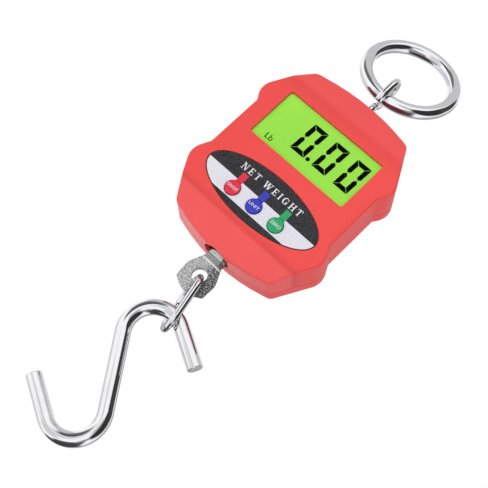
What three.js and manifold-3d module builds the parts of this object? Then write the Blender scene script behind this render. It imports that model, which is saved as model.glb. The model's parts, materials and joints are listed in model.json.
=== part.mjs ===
// A hand-held digital fish scale: a plastic case with a display and three buttons, a load cell
// inside it, a ring on top to hold it by, and a swivelling eye, link and S-hook below it.
// Millimetres. +Z is up along the load line, the display faces -Y, and +X is to its right.
// Dimensions are taken from the middle of the case. At the end the whole object is moved so that
// its origin is on the flat back face, on the centre line, just below the battery door.

import * as THREE from 'three';
import * as BufferGeometryUtils from 'three/addons/utils/BufferGeometryUtils.js';
import Module from 'manifold-3d';

const wasm = await Module();
wasm.setup();

// ---------------------------------------------------------------- driving dimensions

const GAP = 0.3;                    // clearance between pieces that rest on each other
const OVERCUT = 1;                  // how far a cutter reaches past the face it opens
const OVERLAP = 0.5;                // how far joined shapes run into each other
const WELD_DISTANCE = 1e-4;         // points closer than this are one point
const QUARTER_TURN = Math.PI / 2;

const FRONT_Y = -12.5;              // flat front face of the case
const BACK_Y = 12.5;                // flat back face of the case
const PARTING_Y = 4.9;              // where the front and back shells meet
const REST_POINT = [0, BACK_Y, -34]; // the point on the back face that becomes the origin
const WALL = 2;
const INNER_FRONT_Y = FRONT_Y + WALL;
const INNER_BACK_Y = BACK_Y - WALL;

const LOAD_Y = 1.5;                 // the load line is a little behind the middle
const UPPER_CREASE_Z = 34.5;        // the front face slopes back above this line
const LOWER_CREASE_Z = -33.8;       // and below this one
const UPPER_FACET_ANGLE = THREE.MathUtils.degToRad(21);
const LOWER_FACET_ANGLE = THREE.MathUtils.degToRad(26);

const WINDOW = { width: 54, height: 27, z: 14.5, radius: 1.2 };
const LABEL = { halfWidth: 31, halfHeight: 12.6, z: -19.7, pocket: 0.6, thickness: 0.35 };
const BUTTON = { radius: 3.5, pitch: 12.7, z: -24.4, proud: 0.8, clearance: 0.3 };

const BOARD = { frontY: -4.5, thickness: 1.6, halfWidth: 31, halfHeight: 31.5, radius: 1.5 };
const CELL = { halfWidth: 10, thickness: 8, topZ: 25, bottomZ: -25 };

const EYE = {
  wireRadius: 1.8,
  loopRadius: 5.5,
  lowZ: 60.8,
  highZ: 64.6,
  shankZ: 13,
  holeRadius: 2.7,
  turn: THREE.MathUtils.degToRad(5),
};
const RING = { wireRadius: 3.2, radius: 21.8, z: 60.5, lean: THREE.MathUtils.degToRad(21) };
const SWIVEL = {
  plateThickness: 3.2,
  holeZ: -59.5,
  holeRadius: 3.5,
  neckRadius: 4.8,
  shankRadius: 3.6,
  threadRadius: 2.4,
  boreRadius: 3.1,
  nutBoreRadius: 2.8,
  holeInCaseRadius: 7,
  pivotZ: -16,
  tilt: THREE.MathUtils.degToRad(2.1),
};
const LINK = {
  wireRadius: 1.6,
  halfWidth: 6.2,
  length: 26.8,
  slack: 2,
  seam: 0.3,
  aside: 0.5,
  drop: 0.6,
  angle: THREE.MathUtils.degToRad(12.3),
  twist: THREE.MathUtils.degToRad(23),
};
const HOOK = {
  wireRadius: 3.5,
  bendRadius: 12.6,
  bendSpacing: 43.5,
  tipLength: 20,
  tipAngle: THREE.MathUtils.degToRad(63),
};

const BAY = { x: 22, halfWidth: 5.6, bottomZ: -23.5, topZ: 26.5, floorY: -1, wall: 0.9 };
const BATTERY = { radius: 5.15, length: 44.5, y: 4.4 };
const DOOR = { halfWidth: 29.5, bottomZ: -24.7, topZ: 26.7, thickness: 1.8, radius: 2 };
const TAB = { x: 7, halfWidth: 4, reach: 2.6, rise: 1.8, frontY: 9, backY: 10.1 };
const GROOVE = { count: 4, pitch: 1.6, halfWidth: 7, halfHeight: 0.4, depth: 0.5, topZ: 23.2 };
const NOTCH = { radius: 6, z: 29.9 };

const UPPER_BOSS = { x: 24.5, z: 36.2 };
const LOWER_BOSS = { x: 25.2, z: -36.8 };
const BOSS_RADIUS = 3.4;

// ---------------------------------------------------------------- booleans and placing

function toSolid(geometry) {
  const bare = geometry.clone();
  bare.deleteAttribute('normal');
  bare.deleteAttribute('uv');
  const merged = BufferGeometryUtils.mergeVertices(bare, WELD_DISTANCE);
  return new wasm.Manifold(new wasm.Mesh({
    numProp: 3,
    vertProperties: new Float32Array(merged.attributes.position.array),
    triVerts: new Uint32Array(merged.index.array),
  }));
}

function toGeometry(solid) {
  const mesh = solid.getMesh();
  const geometry = new THREE.BufferGeometry();
  geometry.setAttribute('position', new THREE.BufferAttribute(mesh.vertProperties, 3));
  geometry.setIndex(new THREE.BufferAttribute(mesh.triVerts, 1));
  geometry.computeVertexNormals();
  return geometry;
}

// The part of a geometry that lies inside another.
function clipped(geometry, limit) {
  return toGeometry(toSolid(geometry).intersect(toSolid(limit)));
}

// One geometry made from a base, with pieces added to it and then pieces cut from it.
function shaped(base, { add = [], cut = [] }) {
  let solid = toSolid(base);
  for (const piece of add) {
    solid = solid.add(toSolid(piece));
  }
  for (const piece of cut) {
    solid = solid.subtract(toSolid(piece));
  }
  return toGeometry(solid);
}

// A box between two corners.
function block(low, high) {
  const geometry = new THREE.BoxGeometry(high[0] - low[0], high[1] - low[1], high[2] - low[2]);
  return geometry.translate((low[0] + high[0]) / 2, (low[1] + high[1]) / 2, (low[2] + high[2]) / 2);
}

// A cylinder along Y from yFront to yBack.
function pegY(radius, x, yFront, yBack, z, sides = 20) {
  const geometry = new THREE.CylinderGeometry(radius, radius, yBack - yFront, sides);
  return geometry.translate(x, (yFront + yBack) / 2, z);
}

// A cylinder along Z from zLow to zHigh.
function pegZ(radius, x, y, zLow, zHigh, sides = 20) {
  const geometry = new THREE.CylinderGeometry(radius, radius, zHigh - zLow, sides);
  geometry.rotateX(QUARTER_TURN);
  return geometry.translate(x, y, (zLow + zHigh) / 2);
}

// A flat shape drawn in X and Z, made solid from yFront to yBack.
function slab(shape, yFront, yBack, curveSegments = 6) {
  const depth = yBack - yFront;
  const geometry = new THREE.ExtrudeGeometry(shape, { depth, bevelEnabled: false, curveSegments });
  geometry.rotateX(QUARTER_TURN);
  return geometry.translate(0, yBack, 0);
}

// An arc in an upright plane: across is the plane's horizontal direction, and angles are
// measured from it towards +Z.
class Bend extends THREE.Curve {
  constructor(centre, across, radius, from, sweep) {
    super();
    Object.assign(this, { centre, across, radius, from, sweep });
  }

  getPoint(t, target = new THREE.Vector3()) {
    const angle = this.from + this.sweep * t;
    target.copy(this.centre).addScaledVector(this.across, this.radius * Math.cos(angle));
    target.z += this.radius * Math.sin(angle);
    return target;
  }
}

// A path made of bends, with straights between them and to its two ends.
function bentPath(start, bends, end) {
  const path = new THREE.CurvePath();
  let last = start;
  for (const bend of bends) {
    const entry = bend.getPoint(0);
    if (last.distanceTo(entry) > WELD_DISTANCE) {
      path.add(new THREE.LineCurve3(last, entry));
    }
    path.add(bend);
    last = bend.getPoint(1);
  }
  path.add(new THREE.LineCurve3(last, end));
  return path;
}

// A round bar along a path, with flat ends. A circle has two points for each curve segment.
function bar(path, radius, steps, sides = 12) {
  const section = new THREE.Shape().absarc(0, 0, radius, 0, 2 * Math.PI, false);
  return new THREE.ExtrudeGeometry(section, {
    steps,
    curveSegments: sides / 2,
    extrudePath: path,
    bevelEnabled: false,
  });
}

// A solid of revolution about Z through (x, y); the profile is [radius, z] from axis to axis.
function turned(profile, x, y, sides = 20) {
  const points = profile.map(([radius, z]) => new THREE.Vector2(radius, z));
  const geometry = new THREE.LatheGeometry(points, sides);
  geometry.rotateX(QUARTER_TURN);
  return geometry.translate(x, y, 0);
}

// ---------------------------------------------------------------- outlines

// A closed shape through corners [x, z, radius], each corner rounded to its radius.
// The corners run anticlockwise.
function roundedShape(corners) {
  const shape = new THREE.Shape();
  corners.forEach(([x, z, radius], index) => {
    const corner = new THREE.Vector2(x, z);
    const previous = corners.at(index - 1);
    const next = corners[(index + 1) % corners.length];
    const inward = corner.clone().sub(new THREE.Vector2(previous[0], previous[1])).normalize();
    const outward = new THREE.Vector2(next[0], next[1]).sub(corner).normalize();
    const turn = Math.asin(inward.cross(outward));
    const side = Math.sign(turn);
    const setback = radius * Math.tan(Math.abs(turn) / 2);
    const start = corner.clone().addScaledVector(inward, -setback);
    const centre = start.clone().add(new THREE.Vector2(-inward.y, inward.x).multiplyScalar(side * radius));
    const from = Math.atan2(start.y - centre.y, start.x - centre.x);
    shape.absarc(centre.x, centre.y, radius, from, from + turn, side < 0);
  });
  return shape;
}

function rectangle(halfWidth, lowZ, highZ, radius) {
  return roundedShape([
    [-halfWidth, lowZ, radius],
    [halfWidth, lowZ, radius],
    [halfWidth, highZ, radius],
    [-halfWidth, highZ, radius],
  ]);
}

// The right half of the case outline, from the bottom of the arc to the top of the arc.
const CASE_CORNERS = [
  [0, -51.7, 92],
  [28.3, -43.8, 4],
  [39.9, -22.9, 9],
  [35.6, -14.4, 1.5],
  [35.6, 14.4, 1.5],
  [39.9, 20.7, 8.5],
  [27, 44.4, 4],
  [0, 51.6, 92],
];

function mirrored(corners) {
  const sides = corners.slice(1, -1);
  const left = sides.map(([x, z, radius]) => [-x, z, radius]).reverse();
  return [...corners, ...left];
}

// Every edge of the outline moved inward by the inset, with the corner radii following.
function insetCorners(corners, inset) {
  return corners.map(([x, z, radius], index) => {
    const corner = new THREE.Vector2(x, z);
    const previous = corners.at(index - 1);
    const next = corners[(index + 1) % corners.length];
    const inward = corner.clone().sub(new THREE.Vector2(previous[0], previous[1])).normalize();
    const outward = new THREE.Vector2(next[0], next[1]).sub(corner).normalize();
    const turn = Math.asin(inward.cross(outward));
    const bisector = new THREE.Vector2(-inward.y - outward.y, inward.x + outward.x).normalize();
    corner.addScaledVector(bisector, inset / Math.cos(turn / 2));
    return [corner.x, corner.y, radius - Math.sign(turn) * inset];
  });
}

// Two wedges that take the top and bottom ends of the front face away at their facet angles.
function facetWedges(inset) {
  const reach = 40;
  const side = 60;
  const edge = FRONT_Y + inset;
  const upper = block([-side, -reach, 0], [side, 0, reach]);
  upper.rotateX(-UPPER_FACET_ANGLE);
  upper.translate(0, edge, UPPER_CREASE_Z - inset * Math.tan(UPPER_FACET_ANGLE / 2));
  const lower = block([-side, -reach, -reach], [side, 0, 0]);
  lower.rotateX(LOWER_FACET_ANGLE);
  lower.translate(0, edge, LOWER_CREASE_Z + inset * Math.tan(LOWER_FACET_ANGLE / 2));
  return [upper, lower];
}

// The case's outside, or its inside when inset by the wall, between two depths.
function caseBody(inset, yFront, yBack) {
  const corners = insetCorners(mirrored(CASE_CORNERS), inset);
  const body = slab(roundedShape(corners), yFront, yBack, 5);
  return shaped(body, { cut: facetWedges(inset) });
}

// ---------------------------------------------------------------- materials

const plain = (color, roughness, metalness = 0) =>
  new THREE.MeshStandardMaterial({ color, roughness, metalness });

const redPlastic = plain(0xf0524e, 0.45);
const darkPlastic = plain(0x2c2c30, 0.5);
const chrome = plain(0xc9cbd0, 0.15, 1);
const castSteel = plain(0x9a9a9a, 0.5, 1);
const zincSteel = plain(0xb4b6b8, 0.35, 1);
const aluminium = plain(0xb9bcc0, 0.4, 1);
const brassPlate = plain(0xc9a75a, 0.35, 1);

const group = new THREE.Group();

function place(name, geometry, material, parent = group) {
  const mesh = new THREE.Mesh(geometry, material);
  mesh.name = name;
  parent.add(mesh);
  return mesh;
}

// ---------------------------------------------------------------- case shells

const BUTTONS = [
  { name: 'power', x: -BUTTON.pitch, color: 0xd73c50 },
  { name: 'unit', x: 0, color: 0x464bbe },
  { name: 'zero', x: BUTTON.pitch, color: 0x3caa6e },
];

const BOSSES = [
  [-UPPER_BOSS.x, UPPER_BOSS.z],
  [UPPER_BOSS.x, UPPER_BOSS.z],
  [LOWER_BOSS.x, LOWER_BOSS.z],
  [-LOWER_BOSS.x, LOWER_BOSS.z],
];

const SCREW = { radius: 1.3, headRadius: 2.7, headHeight: 1.9, headY: 9.6, tipY: -4 };
const CROSS = { halfLength: 1.7, halfWidth: 0.35, floor: 0.9 };

// Both shells are drilled along the load line, for the eye above and the swivel below.
function loadLineHoles() {
  const inner = 40;
  const outer = 60;
  const eyeHole = pegZ(EYE.holeRadius, 0, LOAD_Y, inner, outer);
  const swivelHole = pegZ(SWIVEL.holeInCaseRadius, 0, LOAD_Y, -outer, -inner, 28);
  return [eyeHole, swivelHole];
}

function labelOutline(grow) {
  const shape = new THREE.Shape();
  shape.absellipse(0, LABEL.z, LABEL.halfWidth + grow, LABEL.halfHeight + grow, 0, 2 * Math.PI);
  return shape;
}

function frontShell() {
  const outside = caseBody(0, FRONT_Y, PARTING_Y - GAP / 2);
  const inside = caseBody(WALL, INNER_FRONT_Y, PARTING_Y + OVERCUT);
  const hollow = shaped(outside, { cut: [inside] });
  const bosses = BOSSES.map(([x, z]) =>
    clipped(pegY(BOSS_RADIUS, x, FRONT_Y + OVERLAP, PARTING_Y - OVERCUT, z), outside));
  const pilots = BOSSES.map(([x, z]) =>
    pegY(SCREW.radius + GAP, x, SCREW.tipY - OVERCUT, PARTING_Y, z, 12));
  const halfWidth = WINDOW.width / 2;
  const halfHeight = WINDOW.height / 2;
  const opening = rectangle(halfWidth, WINDOW.z - halfHeight, WINDOW.z + halfHeight, WINDOW.radius);
  const labelPocket = slab(labelOutline(GAP), FRONT_Y - OVERCUT, FRONT_Y + LABEL.pocket, 28);
  const buttonHoles = BUTTONS.map(({ x }) =>
    pegY(BUTTON.radius + BUTTON.clearance, x, FRONT_Y - OVERCUT, INNER_FRONT_Y + OVERCUT, BUTTON.z, 24));
  return shaped(hollow, {
    add: bosses,
    cut: [
      ...pilots,
      slab(opening, FRONT_Y - OVERCUT, INNER_FRONT_Y + OVERCUT, 3),
      labelPocket,
      ...buttonHoles,
      ...loadLineHoles(),
    ],
  });
}

const WEB_Y = { front: 9.1, back: BACK_Y - DOOR.thickness - GAP };
const WEB_MARGIN = 2;
const NOTCH_WALL = 1.3;

// The battery door's outline with every side moved outward.
function doorOutline(grow, radius) {
  return rectangle(DOOR.halfWidth + grow, DOOR.bottomZ - grow, DOOR.topZ + grow, radius);
}

// A battery bay's inside, or its walls when grown.
function bayBlock(x, grow, yFront, yBack) {
  const low = [x - BAY.halfWidth - grow, yFront, BAY.bottomZ - grow];
  const high = [x + BAY.halfWidth + grow, yBack, BAY.topZ + grow];
  return block(low, high);
}

function backShell() {
  const outside = caseBody(0, PARTING_Y + GAP / 2, BACK_Y);
  const inside = caseBody(WALL, PARTING_Y - OVERCUT, INNER_BACK_Y);
  const hollow = shaped(outside, { cut: [inside] });
  const doorOpening = doorOutline(GAP, DOOR.radius + GAP);
  const web = doorOutline(WEB_MARGIN, 3);
  const thumbNotch = pegY(NOTCH.radius, 0, WEB_Y.back, BACK_Y + OVERCUT, NOTCH.z, 24);
  const sides = [-BAY.x, BAY.x];
  const bosses = BOSSES.map(([x, z]) =>
    pegY(BOSS_RADIUS, x, PARTING_Y + GAP, INNER_BACK_Y + OVERCUT, z));
  const screwHoles = BOSSES.flatMap(([x, z]) => [
    pegY(SCREW.radius + GAP, x, PARTING_Y - OVERCUT, BACK_Y + OVERCUT, z, 12),
    pegY(SCREW.headRadius + GAP, x, SCREW.headY - GAP, BACK_Y + OVERCUT, z, 20),
  ]);
  const slotTopZ = DOOR.bottomZ + 3.5;
  const tabSlots = [-TAB.x, TAB.x].map((x) => block(
    [x - TAB.halfWidth - GAP, TAB.frontY - OVERCUT, DOOR.bottomZ - TAB.reach - GAP],
    [x + TAB.halfWidth + GAP, INNER_BACK_Y, slotTopZ],
  ));
  return shaped(hollow, {
    add: [
      slab(web, WEB_Y.front, INNER_BACK_Y + OVERLAP, 3),
      pegY(NOTCH.radius + NOTCH_WALL, 0, WEB_Y.front, INNER_BACK_Y + OVERLAP, NOTCH.z, 24),
      ...sides.map((x) => bayBlock(x, BAY.wall, BAY.floorY - BAY.wall, WEB_Y.front + OVERLAP)),
      ...bosses,
    ],
    cut: [
      slab(doorOpening, WEB_Y.back, BACK_Y + OVERCUT, 4),
      thumbNotch,
      ...sides.map((x) => bayBlock(x, 0, BAY.floorY, BACK_Y)),
      ...screwHoles,
      ...tabSlots,
      ...loadLineHoles(),
    ],
  });
}

// A hinge tab lies behind the case's lower lip, and a block joins it to the door.
function hingeTab(x) {
  const left = x - TAB.halfWidth;
  const right = x + TAB.halfWidth;
  const topZ = DOOR.bottomZ + TAB.rise;
  const tongue = block([left, TAB.frontY, DOOR.bottomZ - TAB.reach], [right, TAB.backY, topZ]);
  const root = block([left, TAB.frontY, DOOR.bottomZ + 0.4], [right, BACK_Y - 1, topZ]);
  return [tongue, root];
}

// One of the finger grooves near the door's upper edge.
function fingerGroove(index) {
  const { pitch, halfWidth, halfHeight, depth, topZ } = GROOVE;
  const z = topZ - pitch * index;
  return block([-halfWidth, BACK_Y - depth, z - halfHeight], [halfWidth, BACK_Y + OVERCUT, z + halfHeight]);
}

function batteryDoor() {
  const plate = slab(doorOutline(0, DOOR.radius), BACK_Y - DOOR.thickness, BACK_Y, 4);
  const tabs = [-TAB.x, TAB.x].flatMap(hingeTab);
  const grooves = Array.from({ length: GROOVE.count }, (_, index) => fingerGroove(index));
  return shaped(plate, { add: tabs, cut: grooves });
}

place('front_shell', frontShell(), redPlastic);
place('back_shell', backShell(), redPlastic);
place('battery_door', batteryDoor(), redPlastic);

// A cross-headed screw along Y, its head at the back.
function caseScrew(x, z) {
  const { radius, headRadius, headHeight, headY, tipY } = SCREW;
  const { halfLength, halfWidth, floor } = CROSS;
  const head = pegY(headRadius, x, headY, headY + headHeight, z, 20);
  const shank = pegY(radius, x, tipY, headY + OVERLAP, z, 12);
  const slots = [[halfLength, halfWidth], [halfWidth, halfLength]].map(([halfX, halfZ]) =>
    block([x - halfX, headY + floor, z - halfZ], [x + halfX, BACK_Y, z + halfZ]));
  return shaped(head, { add: [shank], cut: slots });
}

BOSSES.forEach(([x, z], index) => {
  place(`case_screw_${index + 1}`, caseScrew(x, z), zincSteel);
});

// ---------------------------------------------------------------- display stack

const LENS = { frontY: FRONT_Y + 0.9, flangeY: INNER_FRONT_Y + GAP, backY: INNER_FRONT_Y + 1.1, margin: 2 };
const LCD = { halfWidth: 28.5, halfHeight: 15, frontY: -9.1, backY: -7.3 };
const BACKLIGHT = { halfWidth: 27.5, halfHeight: 11.5, frontY: -7, backY: -4.8 };
const STRIP = { halfWidth: 26, halfHeight: 1, offset: 13.4 };

// A sheet that fills the window, with a flange behind the wall around it.
function displayLens() {
  const halfWidth = WINDOW.width / 2 - GAP;
  const halfHeight = WINDOW.height / 2 - GAP;
  const sheet = (grow, radius) =>
    rectangle(halfWidth + grow, WINDOW.z - halfHeight - grow, WINDOW.z + halfHeight + grow, radius);
  return shaped(slab(sheet(0, WINDOW.radius), LENS.frontY, LENS.backY, 3), {
    add: [slab(sheet(LENS.margin, LENS.margin), LENS.flangeY, LENS.backY, 3)],
  });
}

function displayBlock({ halfWidth, halfHeight, frontY, backY }) {
  return block([-halfWidth, frontY, WINDOW.z - halfHeight], [halfWidth, backY, WINDOW.z + halfHeight]);
}

place('display_lens', displayLens(), plain(0xe8f2ea, 0.1));
place('lcd_panel', displayBlock(LCD), plain(0x9de849, 0.3));
place('lcd_backlight', displayBlock(BACKLIGHT), plain(0xd9f0c0, 0.5));

for (const [name, side] of [['upper', 1], ['lower', -1]]) {
  const { halfWidth, halfHeight, offset } = STRIP;
  const centreZ = WINDOW.z + side * offset;
  const low = [-halfWidth, LCD.backY + GAP, centreZ - halfHeight];
  const high = [halfWidth, BOARD.frontY - GAP, centreZ + halfHeight];
  place(`contact_strip_${name}`, block(low, high), plain(0x8a8f98, 0.8));
}

// ---------------------------------------------------------------- circuit board and buttons

function circuitBoard() {
  const outline = rectangle(BOARD.halfWidth, -BOARD.halfHeight, BOARD.halfHeight, BOARD.radius);
  return slab(outline, BOARD.frontY, BOARD.frontY + BOARD.thickness, 3);
}

place('circuit_board', circuitBoard(), plain(0x1f6b3a, 0.5));

const KEY = { backY: -10.1, flangeBackY: -9.4, flangeRadius: 4.8, half: 3, bodyFrontY: -7.9 };
const PLUNGER = { radius: 1.7, frontY: -9.3, backY: -7.4 };
const KEY_TRAVEL = 0.5;

// A cap that stands just proud of the label, held in by a flange behind the front wall.
function buttonCap(x) {
  const cap = pegY(BUTTON.radius, x, FRONT_Y - BUTTON.proud, KEY.flangeBackY, BUTTON.z, 28);
  const flange = pegY(KEY.flangeRadius, x, KEY.backY, KEY.flangeBackY, BUTTON.z, 28);
  return shaped(cap, { add: [flange] });
}

// A tact switch body, with a well for its plunger.
function keySwitch(x) {
  const low = [x - KEY.half, KEY.bodyFrontY, BUTTON.z - KEY.half];
  const high = [x + KEY.half, BOARD.frontY - GAP, BUTTON.z + KEY.half];
  const wellBackY = PLUNGER.backY + KEY_TRAVEL + GAP;
  const well = pegY(PLUNGER.radius + GAP, x, KEY.bodyFrontY - OVERCUT, wellBackY, BUTTON.z);
  return shaped(block(low, high), { cut: [well] });
}

for (const { name, x, color } of BUTTONS) {
  place(`${name}_button`, buttonCap(x), plain(color, 0.35));
  const plunger = pegY(PLUNGER.radius, x, PLUNGER.frontY, PLUNGER.backY, BUTTON.z, 16);
  place(`${name}_plunger`, plunger, darkPlastic);
  place(`${name}_switch`, keySwitch(x), zincSteel);
}

// The printed film in its pocket, with a hole for each button.
function labelOverlay() {
  const backY = FRONT_Y + LABEL.pocket - GAP / 2;
  const sheet = slab(labelOutline(0), backY - LABEL.thickness, backY, 28);
  const holes = BUTTONS.map(({ x }) =>
    pegY(BUTTON.radius + BUTTON.clearance, x, FRONT_Y - OVERCUT, FRONT_Y + WALL, BUTTON.z, 24));
  return shaped(sheet, { cut: holes });
}

place('label_overlay', labelOverlay(), plain(0x3e3c42, 0.5));

const chipMaterial = plain(0x1a1a1c, 0.6);
const CHIP_HEIGHT = 1.4;
const chips = [
  { name: 'display_driver_chip', x: 0, z: -9, half: 4 },
  { name: 'amplifier_chip', x: 26, z: -9, half: 2.5 },
];
for (const { name, x, z, half } of chips) {
  const backY = BOARD.frontY - GAP;
  place(name, block([x - half, backY - CHIP_HEIGHT, z - half], [x + half, backY, z + half]), chipMaterial);
}

// ---------------------------------------------------------------- load cell

const UPPER_SLOT = { lowZ: 7, highZ: 10 };
const LOWER_SLOT = { lowZ: -17, highZ: -7 };
const SLOT_END = 4;                 // metal left at the closed end of each slot
const BEAM_HOLE_RADIUS = 3.6;

// An S-shaped bar: two slots from opposite sides leave a bending beam across its middle.
function loadCell() {
  const { halfWidth, thickness, topZ, bottomZ } = CELL;
  const outline = rectangle(halfWidth, bottomZ, topZ, 1);
  const frontY = LOAD_Y - thickness / 2;
  const backY = LOAD_Y + thickness / 2;
  const slot = (left, right, { lowZ, highZ }) =>
    block([left, frontY - OVERCUT, lowZ], [right, backY + OVERCUT, highZ]);
  const upperSlot = slot(-halfWidth + SLOT_END, halfWidth + OVERCUT, UPPER_SLOT);
  const lowerSlot = slot(-halfWidth - OVERCUT, halfWidth - SLOT_END, LOWER_SLOT);
  const beamHole = pegY(BEAM_HOLE_RADIUS, 0, frontY - OVERCUT, backY + OVERCUT, 0, 20);
  const eyeBore = pegZ(EYE.wireRadius + GAP, 0, LOAD_Y, EYE.shankZ - OVERCUT, topZ + OVERCUT, 16);
  const shankBore = pegZ(SWIVEL.boreRadius, 0, LOAD_Y, bottomZ - OVERCUT, SWIVEL.pivotZ, 16);
  return shaped(slab(outline, frontY, backY, 3), {
    cut: [upperSlot, lowerSlot, beamHole, eyeBore, shankBore],
  });
}

place('load_cell', loadCell(), aluminium);

const GAUGE = { halfWidth: 4, height: 1.6, thickness: 0.4, lowZs: [3.9, -5.4] };

GAUGE.lowZs.forEach((lowZ, index) => {
  const frontY = LOAD_Y + CELL.thickness / 2 + GAP;
  const low = [-GAUGE.halfWidth, frontY, lowZ];
  const high = [GAUGE.halfWidth, frontY + GAUGE.thickness, lowZ + GAUGE.height];
  place(`strain_gauge_${index + 1}`, block(low, high), plain(0xc88a3c, 0.6));
});

const HEXAGON = 6;
const ROUND = 24;

// A nut or washer on the load line.
function collar(sides, radius, boreRadius, lowZ, thickness) {
  const highZ = lowZ + thickness;
  const body = pegZ(radius, 0, LOAD_Y, lowZ, highZ, sides);
  return shaped(body, { cut: [pegZ(boreRadius, 0, LOAD_Y, lowZ - OVERCUT, highZ + OVERCUT, 16)] });
}

const EYE_WASHER = { radius: 4.1, lowZ: CELL.topZ + GAP, thickness: 0.8 };
const EYE_NUT = { radius: 4.2, lowZ: CELL.topZ + 1.4, thickness: 3.2 };
const SWIVEL_WASHER = { radius: 3.7, lowZ: -16.7, thickness: 0.8 };
const SWIVEL_NUT = { radius: 3.9, lowZ: -15.6, thickness: 3.4 };

function washer({ radius, lowZ, thickness }, boreRadius) {
  return collar(ROUND, radius, boreRadius, lowZ, thickness);
}

function nut({ radius, lowZ, thickness }, boreRadius) {
  return collar(HEXAGON, radius, boreRadius, lowZ, thickness);
}

place('eye_washer', washer(EYE_WASHER, EYE.wireRadius + GAP), zincSteel);
place('eye_nut', nut(EYE_NUT, EYE.wireRadius + GAP), zincSteel);
place('swivel_washer', washer(SWIVEL_WASHER, SWIVEL.nutBoreRadius), zincSteel);

// ---------------------------------------------------------------- top eye and ring

// A straight shank that is bent sideways and then round into a long loop, all in one upright
// plane. The end of the loop stops a little short of the shank.
function topEye() {
  const { loopRadius, wireRadius, lowZ, highZ, shankZ, turn } = EYE;
  const across = new THREE.Vector3(-Math.sin(turn), Math.cos(turn), 0);
  const onLine = (z) => new THREE.Vector3(0, LOAD_Y, z);
  const jog = Math.PI / 3;
  const shortfall = 0.15;
  const tail = 0.4;
  const jogCentre = onLine(lowZ - 2 * loopRadius * Math.sin(jog)).addScaledVector(across, loopRadius);
  const bends = [
    new Bend(jogCentre, across, loopRadius, Math.PI, -jog),
    new Bend(onLine(lowZ), across, loopRadius, -jog, jog),
    new Bend(onLine(highZ), across, loopRadius, 0, Math.PI),
    new Bend(onLine(lowZ), across, loopRadius, Math.PI, jog - shortfall),
  ];
  const last = bends.at(-1);
  const end = last.getPoint(1).addScaledVector(last.getTangent(1), tail);
  return bar(bentPath(onLine(shankZ), bends, end), wireRadius, 50);
}

place('top_eye', topEye(), chrome);

// The ring is built upright and leans back about the place where it passes through the eye.
const ringTilt = new THREE.Group();
ringTilt.position.set(0, LOAD_Y, RING.z);
ringTilt.rotation.x = -RING.lean;
group.add(ringTilt);
const ringGeometry = new THREE.TorusGeometry(RING.radius, RING.wireRadius, 12, 48);
ringGeometry.rotateX(QUARTER_TURN);
ringGeometry.translate(0, 0, RING.radius);
place('ring', ringGeometry, chrome, ringTilt);

// ---------------------------------------------------------------- swivel eye, link and hook

const PLATE_CORNERS = [
  [4.4, -50.5, 1],
  [5.2, -52.3, 1],
  [7.9, -58.2, 6],
  [7.5, -66, 1.2],
];
const PLATE_TIP = [0, -70, 10];

// The shank hangs loosely from its nut, so the whole swivel tilts a little about that point.
const swivelTilt = new THREE.Group();
swivelTilt.position.set(0, LOAD_Y, SWIVEL.pivotZ);
swivelTilt.rotation.y = -SWIVEL.tilt;
group.add(swivelTilt);

// A round shank forged flat into a plate with a hole, threaded at its upper end.
function swivelEye() {
  const right = PLATE_CORNERS.toReversed();
  const left = PLATE_CORNERS.map(([x, z, radius]) => [-x, z, radius]);
  const { plateThickness, holeZ, holeRadius, neckRadius, shankRadius, threadRadius, pivotZ } = SWIVEL;
  const half = plateThickness / 2;
  const plate = slab(roundedShape([PLATE_TIP, ...right, ...left]), -half, half, 5);
  const shank = turned([
    [0, -53],
    [2.6, -53],
    [neckRadius, -51],
    [neckRadius, -46],
    [shankRadius, -44.5],
    [shankRadius, -26],
    [threadRadius, -25.6],
    [threadRadius, -10.8],
    [2, -10.4],
    [0, -10.4],
  ], 0, 0);
  const hole = pegY(holeRadius, 0, -half - OVERCUT, half + OVERCUT, holeZ, 28);
  return shaped(plate, { add: [shank], cut: [hole] }).translate(0, 0, -pivotZ);
}

place('swivel_eye', swivelEye(), castSteel, swivelTilt);
const swivelNut = nut(SWIVEL_NUT, SWIVEL.nutBoreRadius);
place('swivel_nut', swivelNut.translate(0, -LOAD_Y, -SWIVEL.pivotZ), zincSteel, swivelTilt);

// The link passes through the plate's hole against its side, and hangs a little aside.
const holeDrop = SWIVEL.pivotZ - SWIVEL.holeZ;
const linkTop = new THREE.Vector2(
  holeDrop * Math.sin(SWIVEL.tilt) + LINK.aside,
  SWIVEL.pivotZ - holeDrop * Math.cos(SWIVEL.tilt) - LINK.drop,
);
const linkSwing = new THREE.Group();
linkSwing.position.set(linkTop.x, LOAD_Y, linkTop.y);
linkSwing.rotation.y = -LINK.angle;
group.add(linkSwing);
const linkTwist = new THREE.Group();
linkTwist.rotation.z = LINK.twist;
linkSwing.add(linkTwist);

// An oval of round bar in the YZ plane, butted at the middle of one side.
function linkGeometry() {
  const { halfWidth, length, seam, wireRadius } = LINK;
  const across = new THREE.Vector3(0, 1, 0);
  const start = new THREE.Vector3(0, halfWidth, (seam - length) / 2);
  const end = new THREE.Vector3(0, halfWidth, (-seam - length) / 2);
  const upper = new Bend(new THREE.Vector3(0, 0, -halfWidth), across, halfWidth, 0, Math.PI);
  const lower = new Bend(new THREE.Vector3(0, 0, halfWidth - length), across, halfWidth, Math.PI, Math.PI);
  return bar(bentPath(start, [upper, lower], end), wireRadius, 48);
}

place('link', linkGeometry(), chrome, linkTwist);

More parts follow.
